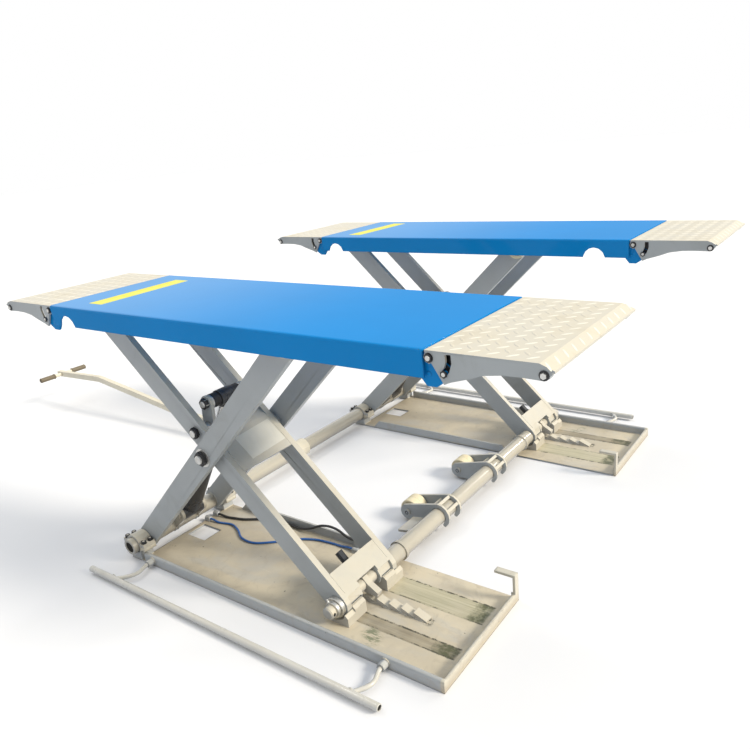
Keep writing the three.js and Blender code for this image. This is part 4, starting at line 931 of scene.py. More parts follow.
def pipe(near, far, radius, bore, edge=0.0):
    """The rings of a pipe, back to the first."""
    return [(near, bore), *drum(near, far, radius, edge), (far, bore), (near, bore)]


def disc(bm, y0, y1, radius, place, segments=48, index=0):
    revolve(bm, drum(y0, y1, radius), place, segments, index=index)


def hexagon(bm, y0, y1, radius, place):
    """A hexagonal nut or head along Y, its corners turned off at both faces."""
    small, thin = radius - NUT_CHAMFER, NUT_CHAMFER / 2
    revolve(bm, [(y0, small), (y0 + thin, radius), (y1 - thin, radius), (y1, small)], place, 6)


def extrude(bm, outline, y0, y1, place):
    """An outline of (x, z) points between two Y values."""
    skin(bm, [[place @ Vector((x, y, z)) for x, z in outline] for y in (y0, y1)])


def oblong(x0, x1, z0, z1):
    return [(x0, z0), (x1, z0), (x1, z1), (x0, z1)]


def slot_outline(x0, z0, x1, z1, radius, steps=20):
    """Two round ends and the straight edges between them."""
    turn = math.atan2(z1 - z0, x1 - x0)
    points = []
    for x, z, start in ((x0, z0, turn + math.pi / 2), (x1, z1, turn - math.pi / 2)):
        for i in range(steps + 1):
            angle = start + math.pi * i / steps
            points.append((x + radius * math.cos(angle), z + radius * math.sin(angle)))
    return points


def bore_shade_cup(end, way, bore, depth):
    """Rings of a dark cup in a tube's open end, a little back from the rim: painted shade inside the bore."""
    near, far = end - way * SHADE_CUP_BACK, end - way * depth
    wall, cup_radius = SHADE_CUP_WALL, bore - SHADE_CUP_WALL / 4
    return [(near, bore - wall), (near, cup_radius), (far, cup_radius), (far, wall), (far - way * wall, wall)]


def sweep(bm, line, radii, count, place):
    """A round skin along a line of points, with a radius for each."""
    loops = []
    side = (line[1] - line[0]).orthogonal().normalized()
    turns = [2 * math.pi * k / count for k in range(count)]
    for i, (point, radius) in enumerate(zip(line, radii)):
        ahead = (line[min(i + 1, len(line) - 1)] - line[max(i - 1, 0)]).normalized()
        side = (side - ahead * side.dot(ahead)).normalized()
        over = ahead.cross(side)
        loops.append([place @ (point + radius * (side * math.cos(t) + over * math.sin(t))) for t in turns])
    skin(bm, loops)


def bead(bm, points, radius, place):
    """A weld bead along a line of points, rippled as it was laid."""
    middle, swing = (radius * share for share in BEAD_RIPPLE_SHARES)
    line = []
    for a, b in zip(points, points[1:]):
        a, b = Vector(a), Vector(b)
        count = max(1, int((b - a).length / (radius * BEAD_STEP_SHARE)))
        line += [a.lerp(b, i / count) for i in range(count)]
    line.append(Vector(points[-1]))
    radii = [middle + swing * math.sin(i * math.pi / 2) for i in range(len(line))]
    sweep(bm, line, radii, 8, place)


def welds(name, body, finish, lines, place, radius=BEAD):
    """Weld beads along lines of points, as one piece."""
    bm = bmesh.new()
    for line in lines:
        bead(bm, line, radius, place)
    smooth(piece_of(bm, name, body, [finish], soft=0))


def bent(points, rounds=3):
    """A line whose corners are cut again and again until they are round."""
    line = [Vector(point) for point in points]
    for _ in range(rounds):
        cut = [line[0]]
        for a, b in zip(line, line[1:]):
            cut += [a.lerp(b, 0.25), a.lerp(b, 0.75)]
        line = [*cut, line[-1]]
    return line


def circle(radius, y, x=0.0, z=0.0, count=40, start=0, angle=360):
    """Points round a circle, or along a part of it in degrees."""
    turns = [math.radians(start + angle * i / count) for i in range(count + 1)]
    return [(x + radius * math.cos(turn), y, z + radius * math.sin(turn)) for turn in turns]


def rear_tube():
    """The rear torsion tube, with the lugs and pins that carry the cylinders' feet."""
    end = UNIT_OFFSET + TUBE_OVERHANG
    near = FOOT_HALF + SEAT_GAP
    pin = FOOT_HALF + LINK_SHEET
    place = turned_place(REAR_AXLE)
    bm = bmesh.new()
    revolve(bm, pipe(-end, end, TUBE_RADIUS, TUBE_BORE, TUBE_EDGE), place, 64)
    # Painted shade: a dark cup in each open end
    for way in ENDS.values():
        revolve(bm, bore_shade_cup(way * end, way, TUBE_BORE, TUBE_SHADE_DEPTH), place, index=1)
    lug = slot_outline(0.0, 0.0, *FOOT_PIN, FOOT_RADIUS)
    for side in SIDES.values():
        for face in FACES.values():
            spot = shifted(turned_place(REAR_AXLE, LEG_ANGLE), y=side * UNIT_OFFSET, face=face)
            extrude(bm, lug, near, near + LINK_SHEET, spot)
            disc(bm, pin, pin + FOOT_PIN_OUT, BOLT_RADIUS, shifted(spot, FOOT_PIN[0], 0, FOOT_PIN[1]))
    piece_of(bm, "rear_tube", "outer_frame", [TUBE, BORE_SHADE], "rear_torsion_tube")


def front_tube():
    """The front torsion tube, with its two collars and two flat tabs."""
    end = UNIT_OFFSET - FRONT_TUBE_START
    bore = SHAFT_RADIUS + SEAT_GAP
    rings = [(-end, bore), (-end, TUBE_RADIUS)]
    for near in (-COLLAR_FAR, COLLAR_FAR - COLLAR_WIDTH):
        far = near + COLLAR_WIDTH
        rings += [(near, TUBE_RADIUS), (near, COLLAR_RADIUS), (far, COLLAR_RADIUS), (far, TUBE_RADIUS)]
    bm = bmesh.new()
    revolve(bm, [*rings, (end, TUBE_RADIUS), (end, bore), (-end, bore)], turned_place(FRONT_AXLE), 64)
    tab = oblong(-TAB_REACH, -TUBE_RADIUS / 2, -TAB_HALF, TAB_HALF)
    for side in SIDES.values():
        extrude(bm, tab, *TAB_PLACES, turned_place(FRONT_AXLE, TAB_LEAN, side))
    piece_of(bm, "front_tube", "front_axle", [TUBE], "front_torsion_tube")


def slide_shaft(unit):
    """The shaft under the inner legs, with its ring, disc and drilled tip outside the leg, whose hole is a
    black rod of painted shade.
    """
    place = pivot_place(FRONT_AXLE, unit)
    leg = INNER_LEG_FACE + LEG_SHEET + SEAT_GAP
    ring_far = leg + SHAFT_RING_WIDTH
    disc_far = ring_far + SHAFT_DISC_WIDTH
    rings = [(-FRONT_TUBE_START - SHAFT_INTO_TUBE, SHAFT_RADIUS), (disc_far, SHAFT_RADIUS)]
    rings += [(SHAFT_TIP - SHAFT_TAPER, SHAFT_RADIUS), (SHAFT_TIP, SHAFT_RADIUS - SHAFT_TAPER)]
    bm = bmesh.new()
    revolve(bm, rings, place)
    for near, far, radius in ((leg, ring_far, SHAFT_RING_RADIUS), (ring_far, disc_far, SHAFT_DISC_RADIUS)):
        revolve(bm, pipe(near, far, radius, SHAFT_RADIUS, SHAFT_RING_EDGE), place, index=1)
    node = unit + "_slide_shaft"
    piece_of(bm, unit + "_shaft", "inner_frame", [CREAM, COLLAR], node, FINE_EDGE)
    # The hole through the tip: a black rod, painted shade
    reach = SHAFT_RADIUS + SHAFT_HOLE_OUT
    bm = bmesh.new()
    revolve(bm, drum(-reach, reach, SHAFT_HOLE), shifted(place, y=(disc_far + SHAFT_TIP) / 2), 24, "X")
    piece_of(bm, unit + "_shaft_hole_shade", "inner_frame", [BLACK], soft=0)


def deck_rollers(unit):
    """The two nylon rollers under the deck, dished outside."""
    near = OUTER_LEG_FACE + LEG_SHEET + RUN_GAP
    far = near + UPPER_ROLLER_WIDTH
    bore = LINK_BOLT_RADIUS + SEAT_GAP
    r, dish = UPPER_ROLLER_RADIUS, UPPER_ROLLER_DISH
    rim, slope, hub, eye = (r * share for share in UPPER_DISH_SHARES)
    rings = [(near, bore), (near, r - dish), (near + dish / 2, r), (far - dish / 2, r), (far, r - dish)]
    rings += [(far, rim), (far - dish, slope), (far - dish, hub), (far, eye), (far, bore), (near, bore)]
    for name, face in FACES.items():
        node = unit + "_upper_roller_" + name
        bm = bmesh.new()
        revolve(bm, rings, pivot_place(PIVOT[unit + "_upper_rollers_level"], unit, face=face))
        piece_of(bm, unit + "_deck_roller_" + name, unit + "_upper_rollers", [NYLON], node)


def carry_roller(unit):
    """The transport roller on the front tube, with a groove round its middle."""
    low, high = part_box(unit + "_transport_roller")
    r, half, edge = ROLLER_RADIUS, ROLLER_HALF, ROLLER_GROOVE
    eye, hub, slope, rim = (r * share for share in ROLLER_HUB_SHARES)
    bore = ROLLER_BOLT + SEAT_GAP
    side = [(half, bore), (half, eye), (half - edge, hub), (half - edge, slope), (half, rim)]
    for i in range(ROUND_STEPS + 1):
        turn = math.pi / 2 * i / ROUND_STEPS
        side.append((half - edge + edge * math.cos(turn), r - edge + edge * math.sin(turn)))
    side += [(edge, r), (edge * GROOVE_SHARE, r - edge / 4)]
    rings = [*((-y, radius) for y, radius in side), (0.0, r - edge / 2), *side[::-1]]
    bm = bmesh.new()
    revolve(bm, [*rings, rings[0]], turned_place((low + high) / 2), 64)
    body = unit + "_transport_roller"
    piece_of(bm, unit + "_carry_roller", body, [NYLON], body, ROLLER_EDGE)


def centre_bolts(unit):
    """The scissor's centre bolts: black heads and nuts, steel washers and threaded ends."""
    head = INNER_LEG_FACE - SEAT_GAP
    near = OUTER_LEG_FACE + LEG_SHEET + SEAT_GAP
    far = near + NUT_HEIGHT
    r = BOLT_RADIUS
    rings = [(head, r), (far, r)]
    for i in range(THREADS):
        rings += [(far + THREAD_PITCH * i, r - THREAD_DEPTH), (far + THREAD_PITCH * (i + 0.5), r)]
    rings += [(far + BOLT_END, r - BOLT_CHAMFER), (far + BOLT_END, BOLT_HOLLOW)]
    for name, face in FACES.items():
        place = pivot_place(CENTRE, unit, -LEG_ANGLE, face)
        node = unit + "_centre_bolt_" + name
        washers = unit + "_centre_washers_" + name
        bm = bmesh.new()
        hexagon(bm, head - HEAD_HEIGHT, head, HEAD_RADIUS, place)
        hexagon(bm, near + RUN_GAP, far, NUT_RADIUS, place)
        piece_of(bm, unit + "_centre_nut_" + name, "outer_frame", [BLACK], node)
        bm = bmesh.new()
        disc(bm, INNER_LEG_FACE + LEG_SHEET + SEAT_GAP, OUTER_LEG_FACE - SEAT_GAP, WASHER_RADIUS, place)
        disc(bm, near, near + RUN_GAP, WASHER_RADIUS, place)
        revolve(bm, rings, place)
        piece_of(bm, washers, "outer_frame", [STEEL], soft=THREAD_EDGE)


def link_bolts(unit):
    """The bolts that carry the lift link: black heads and nuts, steel spacers and ends."""
    head = LINK_FACE - SEAT_GAP
    near = INNER_LEG_FACE + LEG_SHEET + SEAT_GAP
    far = near + LINK_NUT_HEIGHT
    for name, face in FACES.items():
        place = pivot_place(PIVOT[unit + "_link_turn"], unit, -LEG_ANGLE, face)
        node = unit + "_link_bolt_" + name
        bm = bmesh.new()
        hexagon(bm, head - HEAD_HEIGHT, head, LINK_NUT_RADIUS, place)
        hexagon(bm, near, far, LINK_NUT_RADIUS, place)
        piece_of(bm, unit + "_link_nut_" + name, "inner_frame", [BLACK], node)
        bm = bmesh.new()
        disc(bm, LINK_FACE + LINK_SHEET + SEAT_GAP, INNER_LEG_FACE - SEAT_GAP, LINK_NUT_RADIUS, place)
        disc(bm, far - OVERLAP, far + LINK_BOLT_END, LINK_BOLT_RADIUS, place)
        piece_of(bm, unit + "_link_spacer_" + name, "inner_frame", [STEEL])


def cylinder(unit):
    """The hydraulic cylinder: barrel with its foot, gland and port, and the chromed rod with its eye."""
    eye = pivot_place(PIVOT[unit + "_rod_turn"], unit, math.atan2(SLIDE_AXIS.z, SLIDE_AXIS.x))
    foot = shifted(eye, -CYLINDER_LENGTH)
    neck = FOOT_RADIUS - BARREL_EDGE
    r, over, wiper = BARREL_RADIUS, GLAND_RADIUS, ROD_RADIUS + WIPER_GAP
    gland = BARREL_TOP - GLAND_LENGTH
    groove, groove_end = gland + GLAND_GROOVE, gland + 2 * GLAND_GROOVE
    rings = [(0.0, neck), (neck, neck), (FOOT_RADIUS + BARREL_EDGE, r), (gland, r), (gland + OVERLAP, over)]
    rings += [(groove, over), (groove, r), (groove_end, r), (groove_end, over)]
    rings += [(BARREL_TOP - BARREL_EDGE, over), (BARREL_TOP, over - BARREL_EDGE)]
    rings += [(BARREL_TOP, wiper), (BARREL_TOP - GLAND_GROOVE, wiper)]
    bm = bmesh.new()
    disc(bm, -FOOT_HALF, FOOT_HALF, FOOT_RADIUS, foot)
    revolve(bm, rings, foot, 56, "X")
    port = shifted(foot, PORT_DISTANCE) @ QUARTER
    disc(bm, 0.0, r + PORT_HEIGHT / 2, PORT_RADIUS, port, 32)
    hexagon(bm, r + PORT_HEIGHT / 2, r + PORT_HEIGHT, PORT_RADIUS, port)
    body = unit + "_barrel"
    piece_of(bm, body + "_body", body, [BARREL], unit + "_cylinder_barrel")
    inside = CYLINDER_LENGTH - BARREL_TOP + ROD_INSIDE
    bm = bmesh.new()
    revolve(bm, drum(-inside, BARREL_EDGE - ROD_EYE, ROD_RADIUS), eye, along="X")
    piece_of(bm, unit + "_rod_shank", unit + "_rod", [CHROME])
    bm = bmesh.new()
    disc(bm, -ROD_EYE_HALF, ROD_EYE_HALF, ROD_EYE, eye)
    revolve(bm, drum(-ROD_EYE - 2 * ROD_COLLAR, -BARREL_EDGE, ROD_RADIUS + ROD_COLLAR), eye, along="X")
    piece_of(bm, unit + "_rod_eye", unit + "_rod", [BARREL], unit + "_cylinder_rod")


def tread_height(x):
    """Height of the tread above its pivot at a distance from the pivot."""
    return RAMP_TOP - RAMP_TIP_DROP * max(0.0, x - RAMP_BEND) / RAMP_TIP_LENGTH


def stud(bm, x, y, turn, place, index):
    """One raised lozenge with sloping sides. Those painted bright, worn and with a painted highlight, stand
    higher.
    """
    top = STUD_HEIGHT * (DULL_STUD_SHARE if index else 1.0)
    loops = []
    for share, height in zip(STUD_SHARES, (-STUD_SUNK, 0.0, STUD_SLOPE_SHARE * top, top)):
        loop = []
        for i in range(STUD_CORNERS):
            angle = 2 * math.pi * i / STUD_CORNERS
            along = STUD_LENGTH / 2 * math.cos(angle) * (share + 1) / 2
            across = STUD_WIDTH / 2 * math.sin(angle) * share
            px = x + along * math.cos(turn) - across * math.sin(turn)
            py = y + along * math.sin(turn) + across * math.cos(turn)
            loop.append(place @ Vector((px, py, tread_height(px) + height)))
        loops.append(loop)
    skin(bm, loops, index, (-1,))


def tread(unit, end):
    """The raised pattern on a ramp: lozenges at one slant, painted bright as worn and lit, and at the other
    slant halfway between them.
    """
    body = unit + "_" + end + "_ramp"
    place = ramp_place(unit, end)
    along, across = STUD_PITCH
    half = STUD_LENGTH / 2 * math.cos(STUD_SLANT)
    near, far = RAMP_GAP - RAMP_PIVOT_OUT + half, RAMP_BEND - half / 2
    bm = bmesh.new()
    for index, shift, turn in ((0, 0.0, STUD_SLANT), (1, 0.5, -STUD_SLANT)):
        for i in range(-1, 7):
            for j in range(-7, 8):
                x = STUD_START + (i + shift) * along
                y = (j + shift) * across
                if near < x < far and abs(y) < RAMP_HALF - half:
                    stud(bm, x, y, turn, place, index)
    for j in range(-6, 6):
        stud(bm, (RAMP_BEND + RAMP_REACH) / 2, (j + 0.5) * across, -STUD_SLANT, place, 0)
    smooth(piece_of(bm, body + "_studs", body, [STUD, TREAD], soft=0))


def ramp_details(unit, end):
    """Roller bolts at the ramp's tip, black plates behind the slots as painted shade, and beads under the
    tread.
    """
    body = unit + "_" + end + "_ramp"
    place = ramp_place(unit, end)
    bm = bmesh.new()
    # Each side gets a tip bolt and a black plate of painted shade behind its slot
    for face in FACES.values():
        side = shifted(place, face=face)
        tip = shifted(side, RAMP_REACH - TIP_BOLT_BACK, RAMP_HALF, -TIP_BOLT_DROP)
        disc(bm, *TIP_WASHER, tip, 32)
        revolve(bm, TIP_BOLT, tip, 6, index=1)
        extrude(bm, SLOT_SHADE_PLATE, *SLOT_SHADE_DEPTHS, side)
    piece_of(bm, body + "_bolts", body, [BLACK, STEEL], soft=FINE_EDGE)
    under = RAMP_TOP - RAMP_SHEET
    inside = RAMP_HALF - RAMP_SIDE
    start, back, drop = RAMP_WELD
    lines = []
    for y in (-inside, inside):
        lines.append([(start, y, under), (RAMP_BEND, y, under), (RAMP_REACH - back, y, under - drop)])
    for x in RAMP_RIBS:
        for edge in (x, x + RAMP_SHEET):
            lines.append([(edge, -inside, under), (edge, inside, under)])
    welds(body + "_welds", body, TREAD, lines, place, THIN_BEAD)


def base_welds(unit):
    """Beads along the tray's rails, end plate, clamps, hook and sockets, and stitches beside the rack."""
    z = TRAY_SHEET
    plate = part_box(unit + "_base_tray")[1].x - TRAY_ORIGIN - END_SHEET
    foot = CLAMP_X + CLAMP_FOOT
    hook = (plate - OVERLAP, HOOK_WIDTH - TRAY_HALF)
    lines = [
        [(TRAY_REAR + RAIL_START, RAIL_FACE, z), (plate, RAIL_FACE, z)],
        [(INNER_RAIL_START, -INNER_RAIL_FACE, z), (INNER_RAIL_END, -INNER_RAIL_FACE, z)],
        [(plate, -TRAY_HALF, z), (plate, RAIL_FACE, z)],
        [(foot, CLAMP_FACE, z), (foot, RAIL_FACE, z)],
        [(foot, -TRAY_HALF, z), (foot, -CLAMP_FACE, z)],
        [(*hook, z), (*hook, RAIL_TOP)],
    ]
    lines += [circle(SOCKET_RADIUS, TRAY_HALF + BEAD_OUT, x, SOCKET_HEIGHT) for x in SOCKET_PLACES]
    start, end = (corner.x - TRAY_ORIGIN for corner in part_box(unit + "_safety_rack"))
    for y in (-RACK_HALF, RACK_HALF):
        for share in RACK_STITCH_SHARES:
            x = start + (end - start) * share
            lines.append([(x, y, z), (x + RACK_STITCH, y, z)])
    welds(unit + "_base_welds", "base", CREAM, lines, unit_place(unit))


def frame_welds(unit):
    """Beads on the inner legs' cross plates and sleeves, and where the outer legs hold the tube."""
    half = LEG_LENGTH / 2
    under = LEG_RADIUS - PLATE_SHEET
    rear, front = MID_PLATE
    tail, drop = MID_PLATE_TAIL
    lines = []
    for face in FACES.values():
        y = face * INNER_LEG_FACE
        for z in (under, LEG_RADIUS - PLATE_BEAD_DROP):
            lines.append([(rear, y, z), (front, y, z)])
            lines.append([(half - LOW_PLATE, y, z), (half - LOW_PLATE_END, y, z)])
        lines.append([(tail, y, under - drop), (rear, y, under)])
        lines.append(circle(SLEEVE_RADIUS, y - face * OVERLAP, half, start=130, angle=250))
    place = pivot_place(CENTRE, unit, -LEG_ANGLE)
    welds(unit + "_frame_welds", "inner_frame", GREY, lines, place)
    lines = []
    for face in FACES.values():
        for y in (OUTER_LEG_FACE, OUTER_LEG_FACE + LEG_SHEET):
            lines.append(circle(TUBE_RADIUS + BEAD_OUT, face * y, count=48))
        for y in (FOOT_HALF, FOOT_HALF + LINK_SHEET):
            lines.append(circle(TUBE_RADIUS, face * y, count=48, start=60, angle=240))
    place = pivot_place(REAR_AXLE, unit, LEG_ANGLE)
    welds(unit + "_leg_welds", "outer_frame", GREY, lines, place)


def axle_welds():
    """Beads at the front tube's collars and along its tabs."""
    lines = [circle(TUBE_RADIUS, side * (COLLAR_FAR - COLLAR_WIDTH), count=48) for side in SIDES.values()]
    welds("axle_welds", "front_axle", CREAM, lines, turned_place(FRONT_AXLE))
    near, far = TAB_PLACES[0] + OVERLAP, TAB_PLACES[1] - OVERLAP
    lines = []
    for side in SIDES.values():
        for z in (-TAB_HALF, TAB_HALF):
            lines.append([(-TUBE_RADIUS, side * near, z), (-TUBE_RADIUS, side * far, z)])
    welds("tab_welds", "front_axle", CREAM, lines, turned_place(FRONT_AXLE, TAB_LEAN))


def tow_welds():
    """Beads where the tow bar meets its collar."""
    x, half, top = TOW_WELD
    lines = [[(x, y, -half), (x, y, top)] for y in (-half, half)]
    welds("tow_welds", "tow_bar", GREY, lines, turned_place(REAR_AXLE))


def deck_details(unit):
    """Beads under the deck and a plain yellow strip near its rear end."""
    body = unit + "_deck"
    place = unit_place(unit)
    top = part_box(body)[1].z
    under = top - DECK_SHEET
    lines = []
    for x in (DECK_REAR + DECK_INSET, DECK_FRONT - DECK_INSET - DECK_SHEET):
        for edge in (x, x + DECK_SHEET):
            lines.append([(edge, -DECK_INSIDE, under), (edge, DECK_INSIDE, under)])
    for y in (-LUG_NEAR - LUG_SHEET, -LUG_NEAR, LUG_NEAR, LUG_NEAR + LUG_SHEET):
        lines.append([(CLAMP_X - LUG_RADIUS, y, under), (CLAMP_X + LUG_RADIUS, y, under)])
    welds(body + "_welds", body, BLUE, lines, place, DECK_BEAD)
    rear, front, near, far = STRIP_PLACE
    corners = [(rear, far), (rear + STRIP_SLANT, near), (front + STRIP_SLANT, near), (front, far)]
    bm = bmesh.new()
    skin(bm, [[place @ Vector((x, -y, top + z)) for x, y in corners] for z in STRIP_DEPTHS])
    piece_of(bm, body + "_strip", body, [YELLOW], soft=0)


def pin_heads(unit):
    """Black heads and steel ends on the ramps' hinge pins and stops."""
    body = unit + "_deck"
    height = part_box(body)[1].z - RAMP_PIVOT_DROP
    away = (STOP_DISTANCE * math.cos(STOP_ANGLE), 0, STOP_DISTANCE * math.sin(STOP_ANGLE))
    bm = bmesh.new()
    for x, way in ((DECK_FRONT + RAMP_PIVOT_OUT, 1), (DECK_REAR - RAMP_PIVOT_OUT, -1)):
        for face in FACES.values():
            pin = shifted(shifted(unit_place(unit), x, 0, height, way, face), y=RAMP_HALF + SEAT_GAP)
            disc(bm, *PIN_WASHER, pin, 32)
            hexagon(bm, *PIN_HEAD, pin)
            revolve(bm, PIN_TIP, pin, 24, index=1)
            stop = shifted(pin, *away)
            hexagon(bm, *STOP_HEAD, stop)
            disc(bm, *STOP_TIP, stop, 24, 1)
    piece_of(bm, unit + "_pin_heads", body, [BLACK, STEEL], soft=FINE_EDGE)


def clamp_bolts(unit):
    """Black socket bolts through the split clamps, and the washers under them."""
    for name, face in FACES.items():
        place = shifted(unit_place(unit), CLAMP_X, 0, REAR_AXLE.z + CLAMP_TOP, face=face)
        bm = bmesh.new()
        for x in (-CLAMP_BOLT_X, CLAMP_BOLT_X):
            for y in (CLAMP_FACE + CLAMP_BOLT_IN, TRAY_HALF - CLAMP_BOLT_IN):
                revolve(bm, CLAMP_BOLT, shifted(place, x, y) @ QUARTER, 28)
        piece_of(bm, unit + "_clamp_bolts_" + name, "base", [BLACK], soft=0)


def mid_plate(unit):
    """A plain pale plate on the inner frame's mid cross plate."""
    along, across = PLATE_HALVES
    place = shifted(pivot_place(CENTRE, unit, -LEG_ANGLE), *PLATE_PLACE, LEG_RADIUS)
    bm = bmesh.new()
    outline = oblong(-along, along, *PLATE_DEPTHS)
    extrude(bm, outline, -across, across, place @ Matrix.Rotation(PLATE_TWIST, 4, "Z"))
    piece_of(bm, unit + "_plain_plate", "inner_frame", [PALE], soft=PLATE_EDGE)


def nipples(unit):
    """Grease nipples on the slide shaft's disc and on the inner frame's two sleeves."""
    disc_far = INNER_LEG_FACE + LEG_SHEET + SHAFT_RING_WIDTH + SHAFT_DISC_WIDTH
    places = [((SHAFT_TIP + disc_far) / 2 - NIPPLE_BACK, SHAFT_DISC_RADIUS, SHAFT_NIPPLE_LEAN)]
    places += [(face * NIPPLE_OFFSET, SLEEVE_RADIUS, SLEEVE_NIPPLE_LEAN) for face in FACES.values()]
    bm = bmesh.new()
    for y, radius, lean in places:
        leaning = shifted(pivot_place(FRONT_AXLE, unit), y=y) @ Matrix.Rotation(lean, 4, "Y")
        revolve(bm, NIPPLE, shifted(leaning, z=radius) @ QUARTER, 20)
    piece_of(bm, unit + "_nipples", "inner_frame", [STEEL], soft=0)


def guard_bar(unit):
    """The guard bar, a pipe open at both ends, with its two bent arms."""
    place = unit_place(unit)
    rear, front = (corner.x - TRAY_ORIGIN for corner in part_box(unit + "_guard_bar"))
    line = shifted(place, 0, GUARD_OFFSET, GUARD_HEIGHT)
    bore = GUARD_RADIUS - GUARD_WALL
    socket = TRAY_HALF + GUARD_SOCKET
    middle = (GUARD_OFFSET + socket) / 2
    near = GUARD_OFFSET - GUARD_RADIUS
    bm = bmesh.new()
    revolve(bm, pipe(rear, front, GUARD_RADIUS, bore, GUARD_EDGE), line, 40, "X")
    # Painted shade: a dark cup in each open end
    for end, way in ((rear, -1), (front, 1)):
        revolve(bm, bore_shade_cup(end, way, bore, GUARD_SHADE_DEPTH), line, 32, "X", 1)
    wide, high = GUARD_WELD_SHARES
    lines = []
    for x, back in zip(SOCKET_PLACES, GUARD_ARM_BACKS):
        points = [(x, TRAY_HALF + SEAT_GAP, SOCKET_HEIGHT), (x, socket - GUARD_SOCKET / 2, SOCKET_HEIGHT)]
        points += [(x, socket + GUARD_ARM, SOCKET_HEIGHT), (x + GUARD_KNEE, middle, SOCKET_HEIGHT)]
        points += [(x - back / 2, near, GUARD_HEIGHT), (x - back, GUARD_OFFSET, GUARD_HEIGHT)]
        arm = bent(points)
        sweep(bm, arm, [GUARD_ARM] * len(arm), 24, place)
        ring = circle(GUARD_RADIUS + BEAD_OUT, near + GUARD_WELD_IN)
        lines.append([(x - back + wide * px, y, GUARD_HEIGHT + high * pz) for px, y, pz in ring])
    finishes = [GUARD, BORE_SHADE]
    piece_of(bm, unit + "_guard_pipe", "base", finishes, unit + "_guard_bar", FINE_EDGE)
    welds(unit + "_guard_welds", "base", GUARD, lines, place, THIN_BEAD)


def tow_grips():
    """The tow bar's cross rod and its two worn grips, a little thicker at their inner ends."""
    low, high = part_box("tow_handle")
    place = turned_place((low + high) / 2)
    half = (high.y - low.y) / 2
    near = half - TOW_GRIP_LENGTH
    bm = bmesh.new()
    disc(bm, -near - GRIP_OVERLAP, near + GRIP_OVERLAP, TOW_ROD_RADIUS, place, 40)
    piece_of(bm, "tow_cross_rod", "tow_bar", [TOW], "tow_handle")
    r = TOW_GRIP_RADIUS
    edge, neck, rib, hollow = (r - depth for depth in GRIP_DEPTHS)
    start, end, ribs = (near + distance for distance in GRIP_COLLAR)
    rings = [(near, TOW_ROD_RADIUS), (near, edge), (start, r), (end, r), (ribs, neck)]
    for i in range(1, GRIP_RIBS + 1):
        far = ribs + GRIP_PITCH * i
        rings += [(far - GRIP_RIB, rib), (far, hollow)]
    rings += [(half - GRIP_ROUND, edge), (half, r - GRIP_HOLE)]
    rings += [(half, GRIP_HOLE), (half - GRIP_HOLE, GRIP_HOLE_FOOT)]
    bm = bmesh.new()
    for side in SIDES.values():
        revolve(bm, rings, shifted(place, face=side), 40)
    piece_of(bm, "tow_grips", "tow_bar", [GRIP], soft=0)


def link_details(unit):
    """Black sleeves, bright rings and nuts with steel bolt ends on the lift link's cross shaft."""
    near = ROD_EYE_HALF + 2 * SEAT_GAP
    far = LINK_FACE - SEAT_GAP
    ring = far - LINK_RING
    over, inner, edge = SLEEVE_OVER, SLEEVE_OVER - SLEEVE_WALL, SLEEVE_WALL / 2
    sleeve = [(near, inner), (near, over - edge), (near + edge, over), (ring, over), (ring, inner)]
    out = LINK_FACE + LINK_SHEET
    end, radius = out + LINK_END_REACH, LINK_END_BOLT
    bolt = [(out, radius), (end - LINK_END_CHAMFER, radius), (end, radius - LINK_END_CHAMFER)]
    bm = bmesh.new()
    for face in FACES.values():
        place = pivot_place(PIVOT[unit + "_rod_turn"], unit, -LEG_ANGLE, face)
        revolve(bm, [*sleeve, sleeve[0]], place)
        revolve(bm, pipe(ring, far, over - LINK_RING_DROP, LINK_SLEEVE), place, index=1)
        hexagon(bm, out, out + LINK_END_HEIGHT, LINK_END_NUT, place)
        revolve(bm, bolt, place, 32, index=1)
    piece_of(bm, unit + "_link_ends", unit + "_link", [BLACK, STEEL], soft=FINE_EDGE)


def carriage_bolts(unit):
    """Black socket heads on the transport rollers' bolts."""
    low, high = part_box(unit + "_roller_carriage")
    middle = sum(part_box(unit + "_transport_roller"), Vector()) / 2
    middle.y = (low.y + high.y) / 2
    bm = bmesh.new()
    for face in FACES.values():
        revolve(bm, CARRIAGE_BOLT, shifted(turned_place(middle, 0.0, face), y=(high.y - low.y) / 2), 28)
    piece_of(bm, unit + "_carriage_bolts", "front_axle", [BLACK], soft=0)


def sun(name, elevation, azimuth, strength, spread, colour):
    """A distant light, its place in the sky and its spread in degrees."""
    data = bpy.data.lights.new(name, "SUN")
    data.energy = strength
    data.angle = math.radians(spread)
    data.color = colour
    light = bpy.data.objects.new(name, data)
    up, way = math.radians(elevation), math.radians(azimuth)
    from_light = Vector((math.cos(up) * math.cos(way), math.cos(up) * math.sin(way), math.sin(up)))
    light.location = from_light * SUN_DISTANCE
    light.rotation_mode = "QUATERNION"
    light.rotation_quaternion = from_light.to_track_quat("Z", "Y")
    bpy.context.scene.collection.objects.link(light)


def surround():
    """A sky, brightest overhead, that the camera and every gloss see as plain white."""
    world = bpy.data.worlds.new("world")
    bpy.context.scene.world = world
    g = Graph(world)
    high = g.math("MAXIMUM", g.node("SeparateXYZ", (g.node("TexCoord", output="Generated"),), 2), 0.0)
    seen = g.ray("Camera")
    for kind in ("Glossy", "Transmission"):
        seen = g.math("ADD", seen, g.ray(kind), True)
    strength = g.node("Mix", {0: seen, 2: high * high * SKY_RISE + SKY_LEVEL, 3: 1.0})
    g.fill("Background", Strength=strength, Color=g.mix(seen, SKY_COLOUR, (1, 1, 1)))


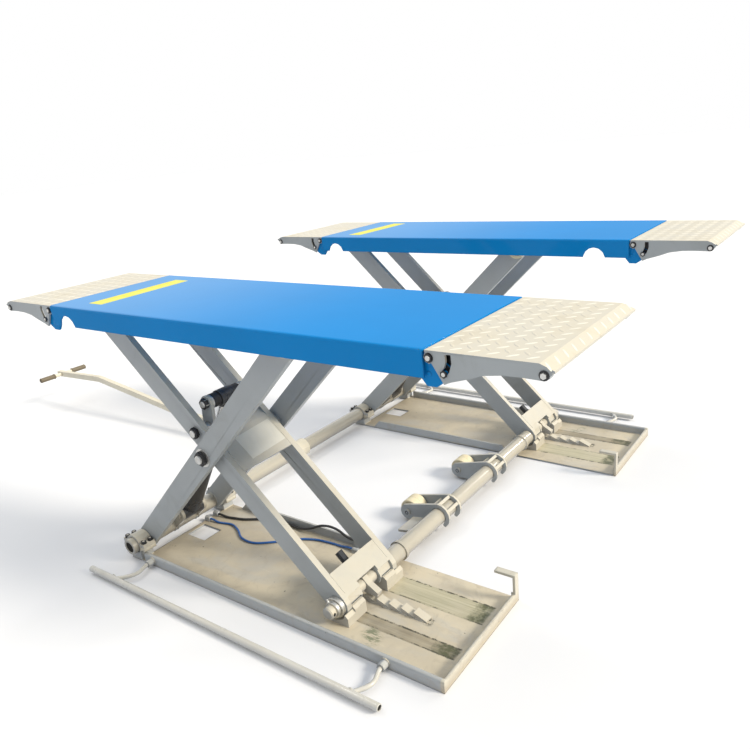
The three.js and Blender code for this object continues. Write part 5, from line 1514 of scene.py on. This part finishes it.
def studio():
    """A pale floor in a white surround, a soft warm light from the front and two weak ones for glints."""
    surround()
    g = material("floor")
    shown = g.mix(g.pattern(*FLOOR_DRIFT), FLOOR_SHOWN, FLOOR_PALE)
    finish = g.finish(g.mix(g.ray("Camera"), FLOOR_LIT, shown), 0.8, Specular_IOR_Level=0.1)
    mesh = bpy.data.meshes.new("floor")
    corners = [(x * FLOOR_REACH, y * FLOOR_REACH, 0) for x, y in ((-1, -1), (1, -1), (1, 1), (-1, 1))]
    mesh.from_pydata(corners, [], [(0, 1, 2, 3)])
    mesh.materials.append(finish)
    floor = bpy.data.objects.new("floor", mesh)
    floor.location.z = -FLOOR_DROP
    bpy.context.scene.collection.objects.link(floor)
    sun("key", *KEY)
    for elevation, azimuth in RIM_PLACES:
        sun("rim", elevation, azimuth, *RIM)
    bpy.context.scene.view_settings.view_transform = "Standard"


# The nodes of each unit that keep their CAD shape, and what is made for each unit
DRESSED = (
    (TRAY, ("base_tray",)),
    (CREAM, ("safety_rack", "clamp_cap_outer", "clamp_cap_inner")),
    (CREAM, ("slide_shoe_outer", "slide_shoe_inner", "pawl")),
    (GREY, ("outer_leg_outer", "outer_leg_inner", "inner_frame", "lift_link", "roller_carriage")),
    (BARREL, ("pawl_air_cylinder",)),
    (BLUE, ("deck",)),
    (TREAD, ("front_ramp", "rear_ramp")),
)
BEFORE_RAMPS = (slide_shaft, deck_rollers, carry_roller, centre_bolts, link_bolts, cylinder)
AFTER_RAMPS = (
    base_welds, frame_welds, deck_details, pin_heads, clamp_bolts,
    mid_plate, nipples, guard_bar, link_details, carriage_bolts,
)

dress("tow_bar", TOW)
for unit_name in SIDES:
    for finish, nodes in DRESSED:
        for node_name in nodes:
            dress(unit_name + "_" + node_name, finish)
    for make in BEFORE_RAMPS:
        make(unit_name)
    for end_name in ENDS:
        tread(unit_name, end_name)
        ramp_details(unit_name, end_name)
    for make in AFTER_RAMPS:
        make(unit_name)
tow_grips()
rear_tube()
front_tube()
axle_welds()
tow_welds()
studio()
